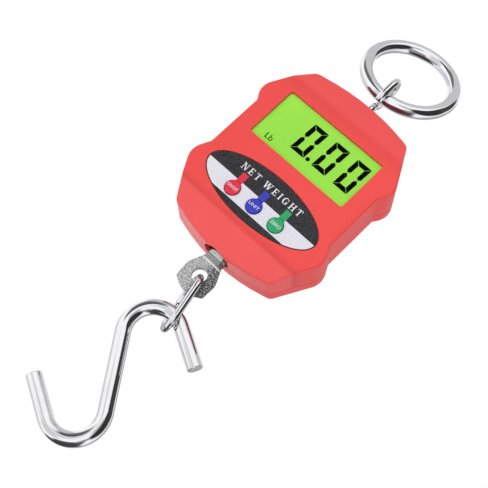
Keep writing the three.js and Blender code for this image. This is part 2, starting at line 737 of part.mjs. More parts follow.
// An S of round bar: two equal bends on opposite sides of a straight, each with a straight tip.
// It is drawn in the XZ plane around the centre of its upper bend.
function hookGeometry() {
  const { bendRadius, bendSpacing, tipLength, tipAngle, wireRadius } = HOOK;
  const across = new THREE.Vector3(1, 0, 0);
  const straightAngle = Math.asin(2 * bendRadius / bendSpacing);
  const sweep = Math.PI + straightAngle - tipAngle;
  const upper = new Bend(new THREE.Vector3(0, 0, 0), across, bendRadius, tipAngle, sweep);
  const lower = new Bend(new THREE.Vector3(0, 0, -bendSpacing), across, bendRadius, straightAngle, -sweep);
  const start = upper.getPoint(0).addScaledVector(upper.getTangent(0), -tipLength);
  const end = lower.getPoint(1).addScaledVector(lower.getTangent(1), tipLength);
  return bar(bentPath(start, [upper, lower], end), wireRadius, 60);
}

// The top of the hook's upper bend hangs in the lower end of the link.
const hookReach = LINK.length - LINK.wireRadius - HOOK.wireRadius - LINK.slack;
const hookHang = new THREE.Group();
hookHang.position.set(
  linkTop.x + hookReach * Math.sin(LINK.angle),
  LOAD_Y,
  linkTop.y - hookReach * Math.cos(LINK.angle) - HOOK.bendRadius,
);
group.add(hookHang);
place('s_hook', hookGeometry(), chrome, hookHang);

// ---------------------------------------------------------------- batteries and leads

// One AAA cell with its two contacts, drawn with its positive end up around the bay's centre.
// The second row is turned over, as the cells are in series.
function batteryRow(side, x, turnedOver) {
  const { radius, length, y } = BATTERY;
  const bayHalf = (BAY.topZ - BAY.bottomZ) / 2;
  const row = new THREE.Group();
  row.position.set(x, y, (BAY.topZ + BAY.bottomZ) / 2);
  row.rotation.y = turnedOver ? Math.PI : 0;
  group.add(row);

  const plateHalf = 4;
  const plateThickness = 0.4;
  const plateClearance = 0.2;
  const positiveLow = bayHalf - plateClearance - plateThickness;
  const negativeHigh = -positiveLow;
  const cellHigh = positiveLow - GAP;
  const cellLow = cellHigh - length;
  const nub = { radius: 1.9, height: 0.9 };

  const contactPlate = (lowZ) =>
    block([-plateHalf, -plateHalf, lowZ], [plateHalf, plateHalf, lowZ + plateThickness]);
  const body = pegZ(radius, 0, 0, cellLow, cellHigh - nub.height, 24);
  const cap = pegZ(nub.radius, 0, 0, cellLow + OVERCUT, cellHigh, 16);
  const spring = contactSpring(negativeHigh + GAP, cellLow - GAP);

  place(`battery_${side}`, shaped(body, { add: [cap] }), plain(0x2f5e9e, 0.3, 0.4), row);
  place(`contact_plus_${side}`, contactPlate(positiveLow), brassPlate, row);
  place(`contact_minus_${side}`, contactPlate(negativeHigh - plateThickness), brassPlate, row);
  place(`contact_spring_${side}`, spring, zincSteel, row);
}

// A conical spring of steel wire around the Z axis.
function contactSpring(zLow, zHigh) {
  const turns = 3;
  const wire = 0.3;
  const wide = 3.6;
  const narrow = 2;
  class Helix extends THREE.Curve {
    getPoint(t, target = new THREE.Vector3()) {
      const radius = THREE.MathUtils.lerp(wide, narrow, t);
      const angle = 2 * Math.PI * turns * t;
      const z = THREE.MathUtils.lerp(zLow + wire, zHigh - wire, t);
      return target.set(radius * Math.cos(angle), radius * Math.sin(angle), z);
    }
  }
  return bar(new Helix(), wire, 42, 6);
}

batteryRow('left', -BAY.x, false);
batteryRow('right', BAY.x, true);

const LEAD_RADIUS = 0.5;
const CABLE_RADIUS = 0.7;

// A soft wire through a few points.
function lead(points, radius) {
  const path = new THREE.CatmullRomCurve3(points.map(([x, y, z]) => new THREE.Vector3(x, y, z)));
  return bar(path, radius, 14, 8);
}

// From the lower end of a battery bay to the back of the circuit board.
const batteryLead = (side) => lead([
  [side * 20, 2, -25.4],
  [side * 17, 1, -27.6],
  [side * 13, -1.2, -29],
  [side * 12, -2.4, -29.4],
], LEAD_RADIUS);
const gaugeCable = lead([
  [4.8, 6.6, 0.6],
  [10, 6.9, 0.8],
  [12.7, 4.5, 1],
  [12.8, 1, 1.5],
  [12.6, -2, 2],
], CABLE_RADIUS);

place('battery_lead_red', batteryLead(-1), plain(0xb02020, 0.6));
place('battery_lead_black', batteryLead(1), plain(0x202020, 0.6));
place('gauge_cable', gaugeCable, plain(0xd8d8d8, 0.6));

group.position.fromArray(REST_POINT).negate();

export default group;
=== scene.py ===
"""A hand-held digital fish scale: red case, green display, printed label, chromed ring and S-hook.

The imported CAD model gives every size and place. This script builds the fine surfaces around it,
gives each piece a procedural material and sets up a pale studio.
"""

import json
import math

import bmesh
import bpy
from mathutils import Matrix, Vector

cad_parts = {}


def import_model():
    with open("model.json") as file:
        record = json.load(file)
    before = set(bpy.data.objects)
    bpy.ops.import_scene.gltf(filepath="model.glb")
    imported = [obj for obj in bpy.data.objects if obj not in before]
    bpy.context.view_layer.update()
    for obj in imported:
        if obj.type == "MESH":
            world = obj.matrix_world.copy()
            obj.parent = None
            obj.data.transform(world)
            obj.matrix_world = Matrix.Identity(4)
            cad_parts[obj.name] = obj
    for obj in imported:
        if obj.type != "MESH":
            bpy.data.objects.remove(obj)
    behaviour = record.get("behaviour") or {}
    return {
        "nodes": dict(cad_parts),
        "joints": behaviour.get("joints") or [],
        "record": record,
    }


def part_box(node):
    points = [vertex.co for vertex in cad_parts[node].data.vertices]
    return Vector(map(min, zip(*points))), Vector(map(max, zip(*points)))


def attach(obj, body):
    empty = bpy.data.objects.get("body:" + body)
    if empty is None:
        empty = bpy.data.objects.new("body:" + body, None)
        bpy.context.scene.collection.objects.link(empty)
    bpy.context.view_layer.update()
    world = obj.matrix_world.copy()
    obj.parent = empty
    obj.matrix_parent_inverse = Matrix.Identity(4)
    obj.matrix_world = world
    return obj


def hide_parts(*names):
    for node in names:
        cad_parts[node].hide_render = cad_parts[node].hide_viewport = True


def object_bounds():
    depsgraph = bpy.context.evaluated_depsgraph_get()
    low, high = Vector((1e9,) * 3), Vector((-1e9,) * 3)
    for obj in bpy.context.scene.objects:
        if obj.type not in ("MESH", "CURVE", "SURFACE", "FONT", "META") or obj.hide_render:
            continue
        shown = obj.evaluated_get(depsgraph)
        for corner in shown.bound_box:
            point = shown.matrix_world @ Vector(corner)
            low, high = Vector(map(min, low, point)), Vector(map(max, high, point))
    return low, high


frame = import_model()
CAD_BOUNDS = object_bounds()
JOINTS = {joint["name"]: joint for joint in frame["joints"]}
SLOTS = {part["node"]: part["material_slot"] for part in frame["record"]["subparts"]}

# ---------------- sizes, in millimetres
# They are measured from the middle of the case, with the display facing -Y and the ring up.

MM = 0.001
FRONT_Y = -12.5
BACK_Y = 12.5
PARTING_Y = 4.9
GAP = 0.3
WALL = 2.0
FILLET = 1.1
BACK_FILLET = 1.6
FRONT_EDGE = 0.22
BACK_EDGE = 0.2
DOOR_EDGE = 0.18
LOAD_Y = 1.5

UPPER_CREASE_Z = 34.5
LOWER_CREASE_Z = -33.8
UPPER_FACET_ANGLE = math.radians(21)
LOWER_FACET_ANGLE = math.radians(26)
CASE_CORNERS = [
    (0, -51.7, 92),
    (28.3, -43.8, 4),
    (39.9, -22.9, 9),
    (35.6, -14.4, 1.5),
    (35.6, 14.4, 1.5),
    (39.9, 20.7, 8.5),
    (27, 44.4, 4),
    (0, 51.6, 92),
]
# The case's holes on the load line: radius, and the heights that their cutters span.
LOAD_HOLES = {"eye_hole": (2.7, 40, 60), "swivel_hole": (7.0, -60, -40)}

WINDOW_Z = 14.5
WINDOW_HALF_WIDTH = 27.0
WINDOW_HALF_HEIGHT = 13.5
WINDOW_RADIUS = 1.2
COVER_Y = FRONT_Y + 0.9
COVER_THICKNESS = 0.15
INK_Y = COVER_Y + 0.22
LCD_Y = COVER_Y + 0.3
LCD_BACK_Y = -7.3
DIGIT_SIZE = (7.9, 16.0)
DIGIT_LEFTS = (-9.0, 3.6, 16.1)
DIGIT_LOW_Z = 7.4
DIGIT_STROKE = 2.2
DIGIT_SLANT = 0.04
SEGMENT_GAP = 0.14
DOT_RADIUS = 1.0
DOT_PLACE = (0.75, 8.3)
UNIT_SIZE = 4.3
UNIT_PLACE = (-18.9, 4.6)
UNIT_THICKNESS = 0.06

LABEL_Z = -19.7
LABEL_HALF_WIDTH = 31.0
LABEL_HALF_HEIGHT = 12.6
LABEL_POCKET = 0.6
LABEL_FACE_Y = FRONT_Y + 0.1
LABEL_THICKNESS = 0.35
PRINT_THICKNESS = 0.03
BAND_TOP_Z = -19.8
BAND_LOW_Z = -28.7
BAND_INSET = 0.35
TITLE_Z = -13.2
TITLE_WIDTH = 34.6
TITLE_HEIGHT = 3.25
TITLE_THICKNESS = 0.04
KEY_TAB_TOP_Z = -15.7
KEY_TAB_HALF_WIDTH = 1.6
KEY_TAB_RADIUS = 0.25

BUTTON_PITCH = 12.7
BUTTON_XS = (-BUTTON_PITCH, 0, BUTTON_PITCH)
BUTTON_Z = -24.4
BUTTON_RADIUS = 3.5
BUTTON_CLEARANCE = 0.3
BUTTON_SIDES = 64
BUTTON_FACE_Y = FRONT_Y - 0.8
BUTTON_BACK_Y = -9.4
BUTTON_FLANGE_Y = -10.1
BUTTON_FLANGE_RADIUS = 4.8
WORD_SIZE = 2.1
WORD_WIDTH = 5.6
WORD_THICKNESS = 0.05

DOOR_HALF_WIDTH = 29.5
DOOR_LOW_Z = -24.7
DOOR_HIGH_Z = 26.7
DOOR_THICKNESS = 1.8
DOOR_RADIUS = 2.0
DOOR_WEB = 1.3
DOOR_WEB_MARGIN = 2.0
TAB_X = 7.0
TAB_HALF_WIDTH = 4.0
TAB_REACH = 2.6
TAB_FRONT_Y = 9.0
TAB_BACK_Y = 10.1
TAB_SLOT_Y = (8.0, 10.5)
NOTCH_RADIUS = 6.0
NOTCH_Z = DOOR_HIGH_Z + 3.2
GROOVE_HALF_WIDTH = 7.0
GROOVE_HALF_HEIGHT = 0.4
GROOVE_DEPTH = 0.5
GROOVE_ZS = [DOOR_HIGH_Z - 3.5 - 1.6 * step for step in range(4)]
BAY_X = 22.0
BAY_HALF_WIDTH = 5.6
BAY_LOW_Z = -23.5
BAY_HIGH_Z = 26.5
BAY_FLOOR_Y = -1.0
BAY_WALL = 0.9
BAY_WALL_SET_BACK = 0.8
BOSS_RADIUS = 3.4
BOSSES = [(-24.5, 36.2), (24.5, 36.2), (25.2, -36.8), (-25.2, -36.8)]
SCREW_HOLE_RADIUS = 1.6
SCREW_HEAD_RADIUS = 2.7
SCREW_HEAD_Y = 9.6

EYE_WIRE = 1.8
EYE_LOOP = 5.5
EYE_LOW_Z = 60.8
EYE_HIGH_Z = 64.6
EYE_FOOT_Z = 13.0
EYE_TURN = math.radians(5)
EYE_BEND = math.radians(60)
RING_WIRE = 3.2
RING_RADIUS = 21.8
RING_LEAN = math.radians(21)
BAR_CHAMFER = 0.5
SWIVEL_TILT = math.radians(2.1)
SWIVEL_PIVOT_Z = -16.0
SHANK_TOP_Z = -10.4
SHANK_RADIUS = 2.4
SHOULDER_Z = -26.0
NECK_TOP_Z = -44.5
NECK_RADIUS = 3.6
COLLAR_TOP_Z = -46.6
COLLAR_RADIUS = 4.8
PLATE_TOP_Z = -54.0
PLATE_HALF_THICKNESS = 1.6
PLATE_HOLE_Z = -59.5
PLATE_HOLE_RADIUS = 3.5
PLATE_CORNERS = [(4.4, -50.5, 1), (5.2, -52.3, 1), (7.9, -58.2, 6), (7.5, -66, 1.2)]
PLATE_TIP = (0, -70, 10)
LINK_WIRE = 1.6
LINK_HALF_WIDTH = 6.2
LINK_LENGTH = 26.8
LINK_SEAM = 0.16
LINK_ANGLE = math.radians(12.3)
LINK_TWIST = math.radians(23)
HOOK_WIRE = 3.5
HOOK_BEND = 12.6
HOOK_SPACING = 43.5
HOOK_TIP = 20.0
HOOK_TIP_ANGLE = math.radians(63)

# The row frame's place of the middle of the case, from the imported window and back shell.
LENS_LOW, LENS_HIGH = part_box("display_lens")
CASE_MIDDLE = Vector((
    (LENS_LOW.x + LENS_HIGH.x) / 2,
    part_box("back_shell")[1].y - BACK_Y * MM,
    (LENS_LOW.z + LENS_HIGH.z) / 2 - WINDOW_Z * MM,
))
TO_ROW = Matrix.Translation(CASE_MIDDLE) @ Matrix.Scale(MM, 4)

# The photograph's view: from the front right and below, rolled so that the ring is at the top right.
CAMERA_PLACE = CASE_MIDDLE + Vector((131.07, -417.58, -153.23)) * MM
CAMERA_RIGHT = Vector((0.7136, 0.0184, 0.7003)).normalized()
CAMERA_FORWARD = Vector((-0.2784, 0.9248, 0.2594)).normalized()
CAMERA_UP = CAMERA_RIGHT.cross(CAMERA_FORWARD).normalized()
CAMERA_ANGLE = math.radians(26.266)


def joint_place(name):
    """A joint's anchor in millimetres from the middle of the case."""
    return (Vector(JOINTS[name]["pos_m"]) - CASE_MIDDLE) / MM


# ---------------- mesh helpers


def to_object(name, bm):
    """A new object from a bmesh, which is freed."""
    bmesh.ops.recalc_face_normals(bm, faces=bm.faces)
    mesh = bpy.data.meshes.new(name)
    bm.to_mesh(mesh)
    bm.free()
    piece = bpy.data.objects.new(name, mesh)
    bpy.context.scene.collection.objects.link(piece)
    return piece


def apply_modifiers(piece):
    """Replaces an object's mesh with what its modifiers make of it."""
    graph = bpy.context.evaluated_depsgraph_get()
    mesh = bpy.data.meshes.new_from_object(piece.evaluated_get(graph))
    piece.modifiers.clear()
    piece.data = mesh


def combine(piece, others, operation):
    """Joins others to a piece or cuts them from it, and removes them."""
    for other in others:
        modifier = piece.modifiers.new("combine", "BOOLEAN")
        modifier.operation = operation
        modifier.solver = "EXACT"
        modifier.object = other
        apply_modifiers(piece)
        bpy.data.objects.remove(other)


def soften(piece, width, angle=40, segments=2):
    """Rounds every edge sharper than the angle."""
    modifier = piece.modifiers.new("soften", "BEVEL")
    modifier.width = width
    modifier.segments = segments
    modifier.limit_method = "ANGLE"
    modifier.angle_limit = math.radians(angle)
    modifier.miter_outer = "MITER_ARC"
    apply_modifiers(piece)


def clean(piece, distance=0.002):
    """Merges doubled points and joins flat neighbours, so that a bevel runs evenly."""
    bm = bmesh.new()
    bm.from_mesh(piece.data)
    bmesh.ops.remove_doubles(bm, verts=bm.verts, dist=distance)
    bmesh.ops.dissolve_limit(bm, angle_limit=math.radians(0.5), verts=bm.verts, edges=bm.edges)
    bm.to_mesh(piece.data)
    bm.free()


def cut_out(piece, cutters, rounding):
    """Cuts a moulded part and rounds its new edges."""
    combine(piece, cutters, "DIFFERENCE")
    clean(piece)
    soften(piece, rounding, 45)


def finish_piece(piece, body, finish, nodes=(), smooth=35):
    """Shades a piece, moves it to the row frame, gives it its finish and lets it ride on its body."""
    mesh = piece.data
    mesh.transform(TO_ROW)
    mesh.polygons.foreach_set("use_smooth", [True] * len(mesh.polygons))
    mesh.set_sharp_from_angle(angle=math.radians(smooth))
    mesh.materials.clear()
    mesh.materials.append(FINISHES[finish])
    flatten = piece.modifiers.new("flat_faces", "WEIGHTED_NORMAL")
    flatten.keep_sharp = True
    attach(piece, body)
    if nodes:
        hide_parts(*nodes)
        finish = SLOTS[nodes[0]]


def loft(name, loops, closed=False):
    """Skins a row of loops, where one point makes a tip; the row has flat ends or closes on itself."""
    bm = bmesh.new()
    rings = [[bm.verts.new(point) for point in loop] for loop in loops]
    pairs = list(zip(rings, rings[1:]))
    if closed:
        pairs.append((rings[-1], rings[0]))
    else:
        for end in (rings[0], rings[-1][::-1]):
            if len(end) > 1:
                bm.faces.new(end)
    for first, second in pairs:
        for index in range(max(len(first), len(second))):
            corners = [first[(index + 1) % len(first)], first[index % len(first)]]
            corners += [second[index % len(second)], second[(index + 1) % len(second)]]
            bm.faces.new(list(dict.fromkeys(corners)))
    return to_object(name, bm)


def prism(name, points, front_y, back_y):
    """A flat outline of (x, z) points made solid between two depths."""
    return loft(name, [[(x, y, z) for x, z in points] for y in (front_y, back_y)])


def block(name, low, high):
    """A box between two corners (x, y, z)."""
    corners = [(low[0], low[2]), (high[0], low[2]), (high[0], high[2]), (low[0], high[2])]
    return prism(name, corners, low[1], high[1])


def circle(radius, x, z, sides):
    """Points around a circle, from its right."""
    step = 2 * math.pi / sides
    return [(x + radius * math.cos(step * i), z + radius * math.sin(step * i)) for i in range(sides)]


def peg(name, radius, x, z, front_y, back_y, sides=48):
    """A cylinder along Y."""
    return prism(name, circle(radius, x, z, sides), front_y, back_y)


def turned(name, profile, sides=48):
    """A solid of revolution about the load line; the profile is (radius, z) from axis to axis."""
    loops = []
    for radius, z in profile:
        spots = circle(radius, 0, 0, sides) if radius else [(0, 0)]
        loops.append([(x, LOAD_Y + y, z) for x, y in spots])
    return loft(name, loops)


# ---------------- outlines


def corner_turn(corners, index):
    """The directions into and out of a corner, and the angle turned there."""
    here = Vector(corners[index][:2])
    before = Vector(corners[index - 1][:2])
    after = Vector(corners[(index + 1) % len(corners)][:2])
    inward = (here - before).normalized()
    outward = (after - here).normalized()
    return inward, outward, math.asin(inward.x * outward.y - inward.y * outward.x)


def rounded(corners, step=math.radians(5)):
    """Points along a closed outline whose corners (x, z, radius) run anticlockwise."""
    points = []
    for index, (x, z, radius) in enumerate(corners):
        inward, outward, turn = corner_turn(corners, index)
        side = math.copysign(1, turn)
        start = Vector((x, z)) - inward * radius * math.tan(abs(turn) / 2)
        centre = start + Vector((-inward.y, inward.x)) * side * radius
        first = math.atan2(start.y - centre.y, start.x - centre.x)
        count = max(2, round(abs(turn) / step))
        for i in range(count + 1):
            angle = first + turn * i / count
            points.append((centre.x + radius * math.cos(angle), centre.y + radius * math.sin(angle)))
    return points


def inset(corners, distance):
    """Every edge of a rounded outline moved inward."""
    moved = []
    for index, (x, z, radius) in enumerate(corners):
        inward, outward, turn = corner_turn(corners, index)
        bisector = Vector((-inward.y - outward.y, inward.x + outward.x)).normalized()
        corner = Vector((x, z)) + bisector * distance / math.cos(turn / 2)
        moved.append((corner.x, corner.y, radius - math.copysign(distance, turn)))
    return moved


def both_sides(corners):
    """A right half outline from its lowest to its highest corner, with the left half added."""
    left = [(-x, z, radius) for x, z, radius in reversed(corners[1:-1])]
    return [*corners, *left]


def rectangle(half_width, low_z, high_z, radius, centre_x=0):
    """A rectangle's outline with rounded corners."""
    left = centre_x - half_width
    right = centre_x + half_width
    return rounded([
        (left, low_z, radius),
        (right, low_z, radius),
        (right, high_z, radius),
        (left, high_z, radius),
    ], math.radians(10))


def ellipse(grow=0.0, sides=128):
    """The label's outline, moved outward by a distance."""
    half_width = LABEL_HALF_WIDTH + grow
    half_height = LABEL_HALF_HEIGHT + grow
    step = 2 * math.pi / sides
    return [
        (half_width * math.cos(step * i), LABEL_Z + half_height * math.sin(step * i))
        for i in range(sides)
    ]


# ---------------- materials


def add_node(tree, kind, **inputs):
    """A new node, whose inputs are given plain values or joined to other nodes' outputs."""
    node = tree.nodes.new(kind)
    for name, value in inputs.items():
        socket = node.inputs[name.replace("_", " ")]
        if isinstance(value, bpy.types.NodeSocket):
            tree.links.new(value, socket)
        else:
            socket.default_value = value
    return node


def mixed(tree, factor, first, second):
    """Mixes two colours; each may be a node's output or a plain colour."""
    node = tree.nodes.new("ShaderNodeMix")
    node.data_type = "RGBA"
    tree.links.new(factor, node.inputs[0])
    for socket, value in ((node.inputs["A"], first), (node.inputs["B"], second)):
        if isinstance(value, tuple):
            socket.default_value = value
        else:
            tree.links.new(value, socket)
    return node.outputs["Result"]


class Finish:
    """A material's node tree with a Principled shader, and short ways to add nodes to it."""

    def __init__(self, name, roughness, metallic=0.0, specular=0.5):
        self.material = bpy.data.materials.new(name)
        self.material.use_nodes = True
        self.tree = self.material.node_tree
        self.shader = self.tree.nodes["Principled BSDF"]
        self.shader.inputs["Roughness"].default_value = roughness
        self.shader.inputs["Metallic"].default_value = metallic
        self.shader.inputs["Specular IOR Level"].default_value = specular
        self.place = self.node("ShaderNodeTexCoord").outputs["Object"]
        self.relief = None

    def node(self, kind, **inputs):
        """A new node in this material."""
        return add_node(self.tree, kind, **inputs)

    def drive(self, name, output):
        """Lets a node's output set one of the shader's inputs."""
        self.tree.links.new(output, self.shader.inputs[name])

    def noise(self, scale, detail=3.0, stretch=(1, 1, 1)):
        """A noise value; scale is in features per metre."""
        place = self.node("ShaderNodeMapping", Vector=self.place, Scale=stretch).outputs["Vector"]
        return self.node("ShaderNodeTexNoise", Vector=place, Scale=scale, Detail=detail).outputs["Fac"]

    def cells(self, scale):
        """A cellular value; scale is in cells per metre."""
        return self.node("ShaderNodeTexVoronoi", Vector=self.place, Scale=scale).outputs["Distance"]

    def ramp(self, value, stops):
        """Colours along a value; each stop is (place, colour)."""
        ramp = self.node("ShaderNodeValToRGB", Fac=value)
        elements = ramp.color_ramp.elements
        while len(elements) < len(stops):
            elements.new(0.5)
        for element, (position, color) in zip(elements, stops):
            element.position = position
            element.color = (*color, 1)
        return ramp.outputs["Color"]

    def between(self, value, low, high):
        """A value mapped from 0..1 to low..high."""
        return self.node("ShaderNodeMapRange", Value=value, To_Min=low, To_Max=high).outputs["Result"]

    def along(self, axis, low, high):
        """How far a point lies from low to high along an axis, from 0 to 1."""
        value = self.node("ShaderNodeSeparateXYZ", Vector=self.place).outputs[axis]
        return self.node("ShaderNodeMapRange", Value=value, From_Min=low, From_Max=high).outputs["Result"]

    def tint(self, color):
        """Multiplies the base colour by another."""
        node = self.node("ShaderNodeVectorMath")
        node.operation = "MULTIPLY"
        before = self.shader.inputs["Base Color"].links[0].from_socket
        self.tree.links.new(before, node.inputs[0])
        self.tree.links.new(color, node.inputs[1])
        self.drive("Base Color", node.outputs["Vector"])

    def paint_shade_in_mirrors(self, shade):
        """Painted shade: this finish is darkened where polished metal reflects it, standing in for the
        shade on the case's walls.
        """
        seen_in_mirror = self.node("ShaderNodeLightPath").outputs["Is Glossy Ray"]
        self.tint(self.ramp(seen_in_mirror, [(0.0, (1, 1, 1)), (1.0, shade)]))

    def color(self, value, low, high):
        """The base colour runs from low to high over a noise value."""
        self.drive("Base Color", self.ramp(value, [(0.3, low), (0.7, high)]))

    def roughness(self, value, low, high):
        """The roughness runs from low to high over a noise value."""
        self.drive("Roughness", self.between(value, low, high))

    def bump(self, value, depth):
        """Relief of a depth in metres, added to any relief before it."""
        node = self.node("ShaderNodeBump", Height=value, Distance=depth)
        if self.relief:
            self.tree.links.new(self.relief, node.inputs["Normal"])
        self.relief = node.outputs["Normal"]
        self.drive("Normal", self.relief)


def grey(level):
    """A neutral colour."""
    return (level, level, level)


def scaled(color, factor):
    """A colour made darker or paler."""
    return tuple(min(1.0, channel * factor) for channel in color)


def moulded(name, color, roughness, grain, specular=0.4):
    """Moulded plastic: a fine sparked grain, faint flow marks and slight gloss changes."""
    finish = Finish(name, roughness, specular=specular)
    flow = finish.noise(22, 2, (1, 1, 0.35))
    grains = finish.noise(2600, 2)
    finish.color(flow, scaled(color, 0.975), scaled(color, 1.02))
    finish.roughness(finish.noise(60), roughness - 0.05, roughness + 0.05)
    finish.bump(grains, 0.00002 * grain)
    return finish


# Painted shade: how much darker the red plastic is made where chrome reflects it.
PAINTED_MIRROR_SHADE = (0.20, 0.16, 0.30)
PLAIN_FRONT = (0.975, 0.68, 0.65)
# Painted light on the front by height: a painted dark shade line and a painted pale sheen line at each
# crease.
FRONT_PAINTED_SHADE_AND_SHEEN = [
    (-36.2, (1.0, 0.98, 1.0)),
    (-34.4, (0.84, 0.53, 0.50)),
    (-31.4, PLAIN_FRONT),
    (27.0, PLAIN_FRONT),
    (33.4, (0.90, 0.58, 0.55)),
    (36.5, (0.98, 0.80, 0.80)),
]


def case_plastic():
    """The case's red plastic, with a painted shade where chrome reflects it."""
    finish = moulded("case_plastic", (0.95, 0.070, 0.063), 0.34, 1.0, 0.5)
    # Painted shade on the red where chrome reflects it.
    finish.paint_shade_in_mirrors(PAINTED_MIRROR_SHADE)
    return finish


def front_plastic():
    """The case's plastic, with painted shade in its two creases, a painted sheen where the front slopes
    back and a painted shade where chrome reflects it.
    """
    finish = moulded("front_plastic", (0.97, 0.100, 0.094), 0.34, 1.0, 0.5)
    low = CASE_CORNERS[0][1]
    high = CASE_CORNERS[-1][1]
    height = finish.along("Z", CASE_MIDDLE.z + low * MM, CASE_MIDDLE.z + high * MM)
    stops = [((z - low) / (high - low), shade) for z, shade in FRONT_PAINTED_SHADE_AND_SHEEN]
    # Paints the crease shade and the facet sheen over the colour, by height.
    finish.tint(finish.ramp(height, stops))
    # Painted shade on the red where chrome reflects it.
    finish.paint_shade_in_mirrors(PAINTED_MIRROR_SHADE)
    return finish


def printed(name, color, roughness, grain):
    """Screen-printed ink on textured polyester film; the grain is how far its colour varies."""
    finish = Finish(name, roughness, specular=0.4)
    grains = finish.noise(2600, 1)
    stops = [(0.42, scaled(color, 1 - grain)), (0.58, scaled(color, 1 + grain))]
    finish.drive("Base Color", finish.ramp(grains, stops))
    finish.roughness(finish.noise(150), roughness - 0.04, roughness + 0.06)
    finish.bump(grains, 0.00001 + 0.00006 * grain)
    return finish


def display_green():
    """The backlit panel: even green with a little light of its own."""
    finish = Finish("lcd_green", 0.35, specular=0.3)
    drift = finish.noise(30, 2)
    low, high = (0.32, 0.76, 0.062), (0.36, 0.83, 0.072)
    finish.color(drift, low, high)
    finish.bump(finish.noise(3500, 2), 0.000006)
    finish.drive("Emission Color", finish.ramp(drift, [(0.2, low), (0.8, high)]))
    finish.shader.inputs["Emission Strength"].default_value = 0.12
    return finish


def display_ink():
    """The lit segments: flat black."""
    finish = Finish("lcd_ink", 0.6, specular=0.02)
    finish.color(finish.noise(900), (0.001, 0.0015, 0.001), (0.003, 0.004, 0.002))
    return finish


def clear_cover():
    """A clear acrylic sheet, seen as a faint gloss over what lies behind it."""
    finish = Finish("display_cover", 0.08)
    finish.roughness(finish.noise(80), 0.05, 0.12)
    fresnel = finish.node("ShaderNodeFresnel", IOR=1.07)
    both = finish.node("ShaderNodeMixShader", Fac=fresnel.outputs["Fac"])
    clear = finish.node("ShaderNodeBsdfTransparent")
    links = finish.tree.links
    links.new(clear.outputs["BSDF"], both.inputs[1])
    links.new(finish.shader.outputs["BSDF"], both.inputs[2])
    links.new(both.outputs["Shader"], finish.tree.nodes["Material Output"].inputs["Surface"])
    finish.shader.inputs["Metallic"].default_value = 1.0
    return finish


def chrome(name, rim=1.0):
    """Chrome plate, wavy from the bar beneath, with hairline rubs; thin wire gets a painted dark shade at
    its rim.
    """
    finish = Finish(name, 0.06, metallic=1.0)
    waves = finish.noise(140, 2)
    rubs = finish.noise(900, 4, (1, 1, 0.2))
    finish.color(waves, (0.91, 0.91, 0.93), (0.97, 0.97, 0.985))
    # Painted shade: the colour darkens to the rim amount where the surface turns away from view.
    facing = finish.node("ShaderNodeLayerWeight").outputs["Facing"]
    finish.tint(finish.ramp(facing, [(0.50, grey(1)), (0.72, grey(rim))]))
    finish.roughness(rubs, 0.03, 0.10)
    finish.bump(waves, 0.000012)
    return finish


# The height over which painted highlights and painted shade are laid over the casting's step and neck,
# from the plate's top.
STEP_SPAN = 8.0


def cast_steel():
    """Tumbled casting: finely pitted, with a painted shade darkening it to its right and painted highlight
    and shade bands over its step and neck.
    """
    finish = Finish("cast_steel", 0.4, metallic=0.95)
    pits = finish.noise(1900, 5)
    spots = finish.noise(420, 4)
    # Lit and shaded copies of the pitted surface, mixed by a painted shade that darkens the plate towards
    # its right.
    light = finish.ramp(pits, [(0.36, grey(0.14)), (0.46, grey(0.60)), (0.60, grey(0.95))])
    dark = finish.ramp(pits, [(0.40, grey(0.01)), (0.52, grey(0.14)), (0.62, grey(0.85))])
    side = finish.ramp(finish.along("X", -0.001, 0.008), [(0.15, grey(0)), (0.70, grey(1))])
    surface = mixed(finish.tree, side, light, dark)
    low_z = CASE_MIDDLE.z + PLATE_TOP_Z * MM
    height = finish.along("Z", low_z, low_z + STEP_SPAN * MM)
    # Painted highlights and painted shade in bands across the step and neck, by height.
    painted_light_bands = [
        (0.24, grey(1.0)),
        (0.27, grey(0.30)),
        (0.50, grey(0.50)),
        (0.55, grey(0.16)),
        (0.59, grey(0.95)),
        (0.76, grey(0.90)),
        (0.82, grey(0.40)),
    ]
    painted_band_strength = [
        (0.14, grey(0)),
        (0.17, grey(1)),
        (0.24, grey(1)),
        (0.28, grey(0.75)),
        (0.55, grey(0.9)),
    ]
    # How strongly the painted bands cover the pitted surface, by height.
    painted_band_mix = finish.ramp(height, painted_band_strength)
    finish.drive("Base Color", mixed(finish.tree, painted_band_mix, surface, finish.ramp(height, painted_light_bands)))
    finish.roughness(spots, 0.25, 0.45)
    finish.bump(pits, 0.0001)
    finish.bump(spots, 0.0001)
    return finish


def plated(name, color, roughness):
    """Zinc, brass or milled metal with a directional grain."""
    finish = Finish(name, roughness, metallic=1.0)
    lines = finish.noise(1600, 3, (0.1, 1, 1))
    finish.color(lines, scaled(color, 0.85), scaled(color, 1.1))
    finish.roughness(finish.noise(250), roughness - 0.08, roughness + 0.1)
    finish.bump(lines, 0.00001)
    return finish


def circuit_board():
    """Solder mask over copper: lighter tracks in a dark green field."""
    finish = Finish("board_green", 0.3)
    track = (0.03, 0.30, 0.10)
    field = (0.015, 0.16, 0.05)
    tracks = finish.cells(450)
    finish.drive("Base Color", finish.ramp(tracks, [(0.0, track), (0.35, track), (0.42, field)]))
    finish.bump(tracks, 0.00003)
    return finish


def battery_wrap():
    """A shrunk plastic wrap: a plain blue sleeve with a silver band, by height along the cell."""
    finish = Finish("battery_wrap", 0.25, metallic=0.5)
    low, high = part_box("battery_left")
    silver = (0.68, 0.68, 0.70)
    blue = (0.035, 0.115, 0.37)
    bands = [(0.03, silver), (0.05, blue), (0.72, blue), (0.76, silver)]
    finish.drive("Base Color", finish.ramp(finish.along("Z", low.z, high.z), bands))
    finish.bump(finish.noise(300, 3), 0.00002)
    return finish


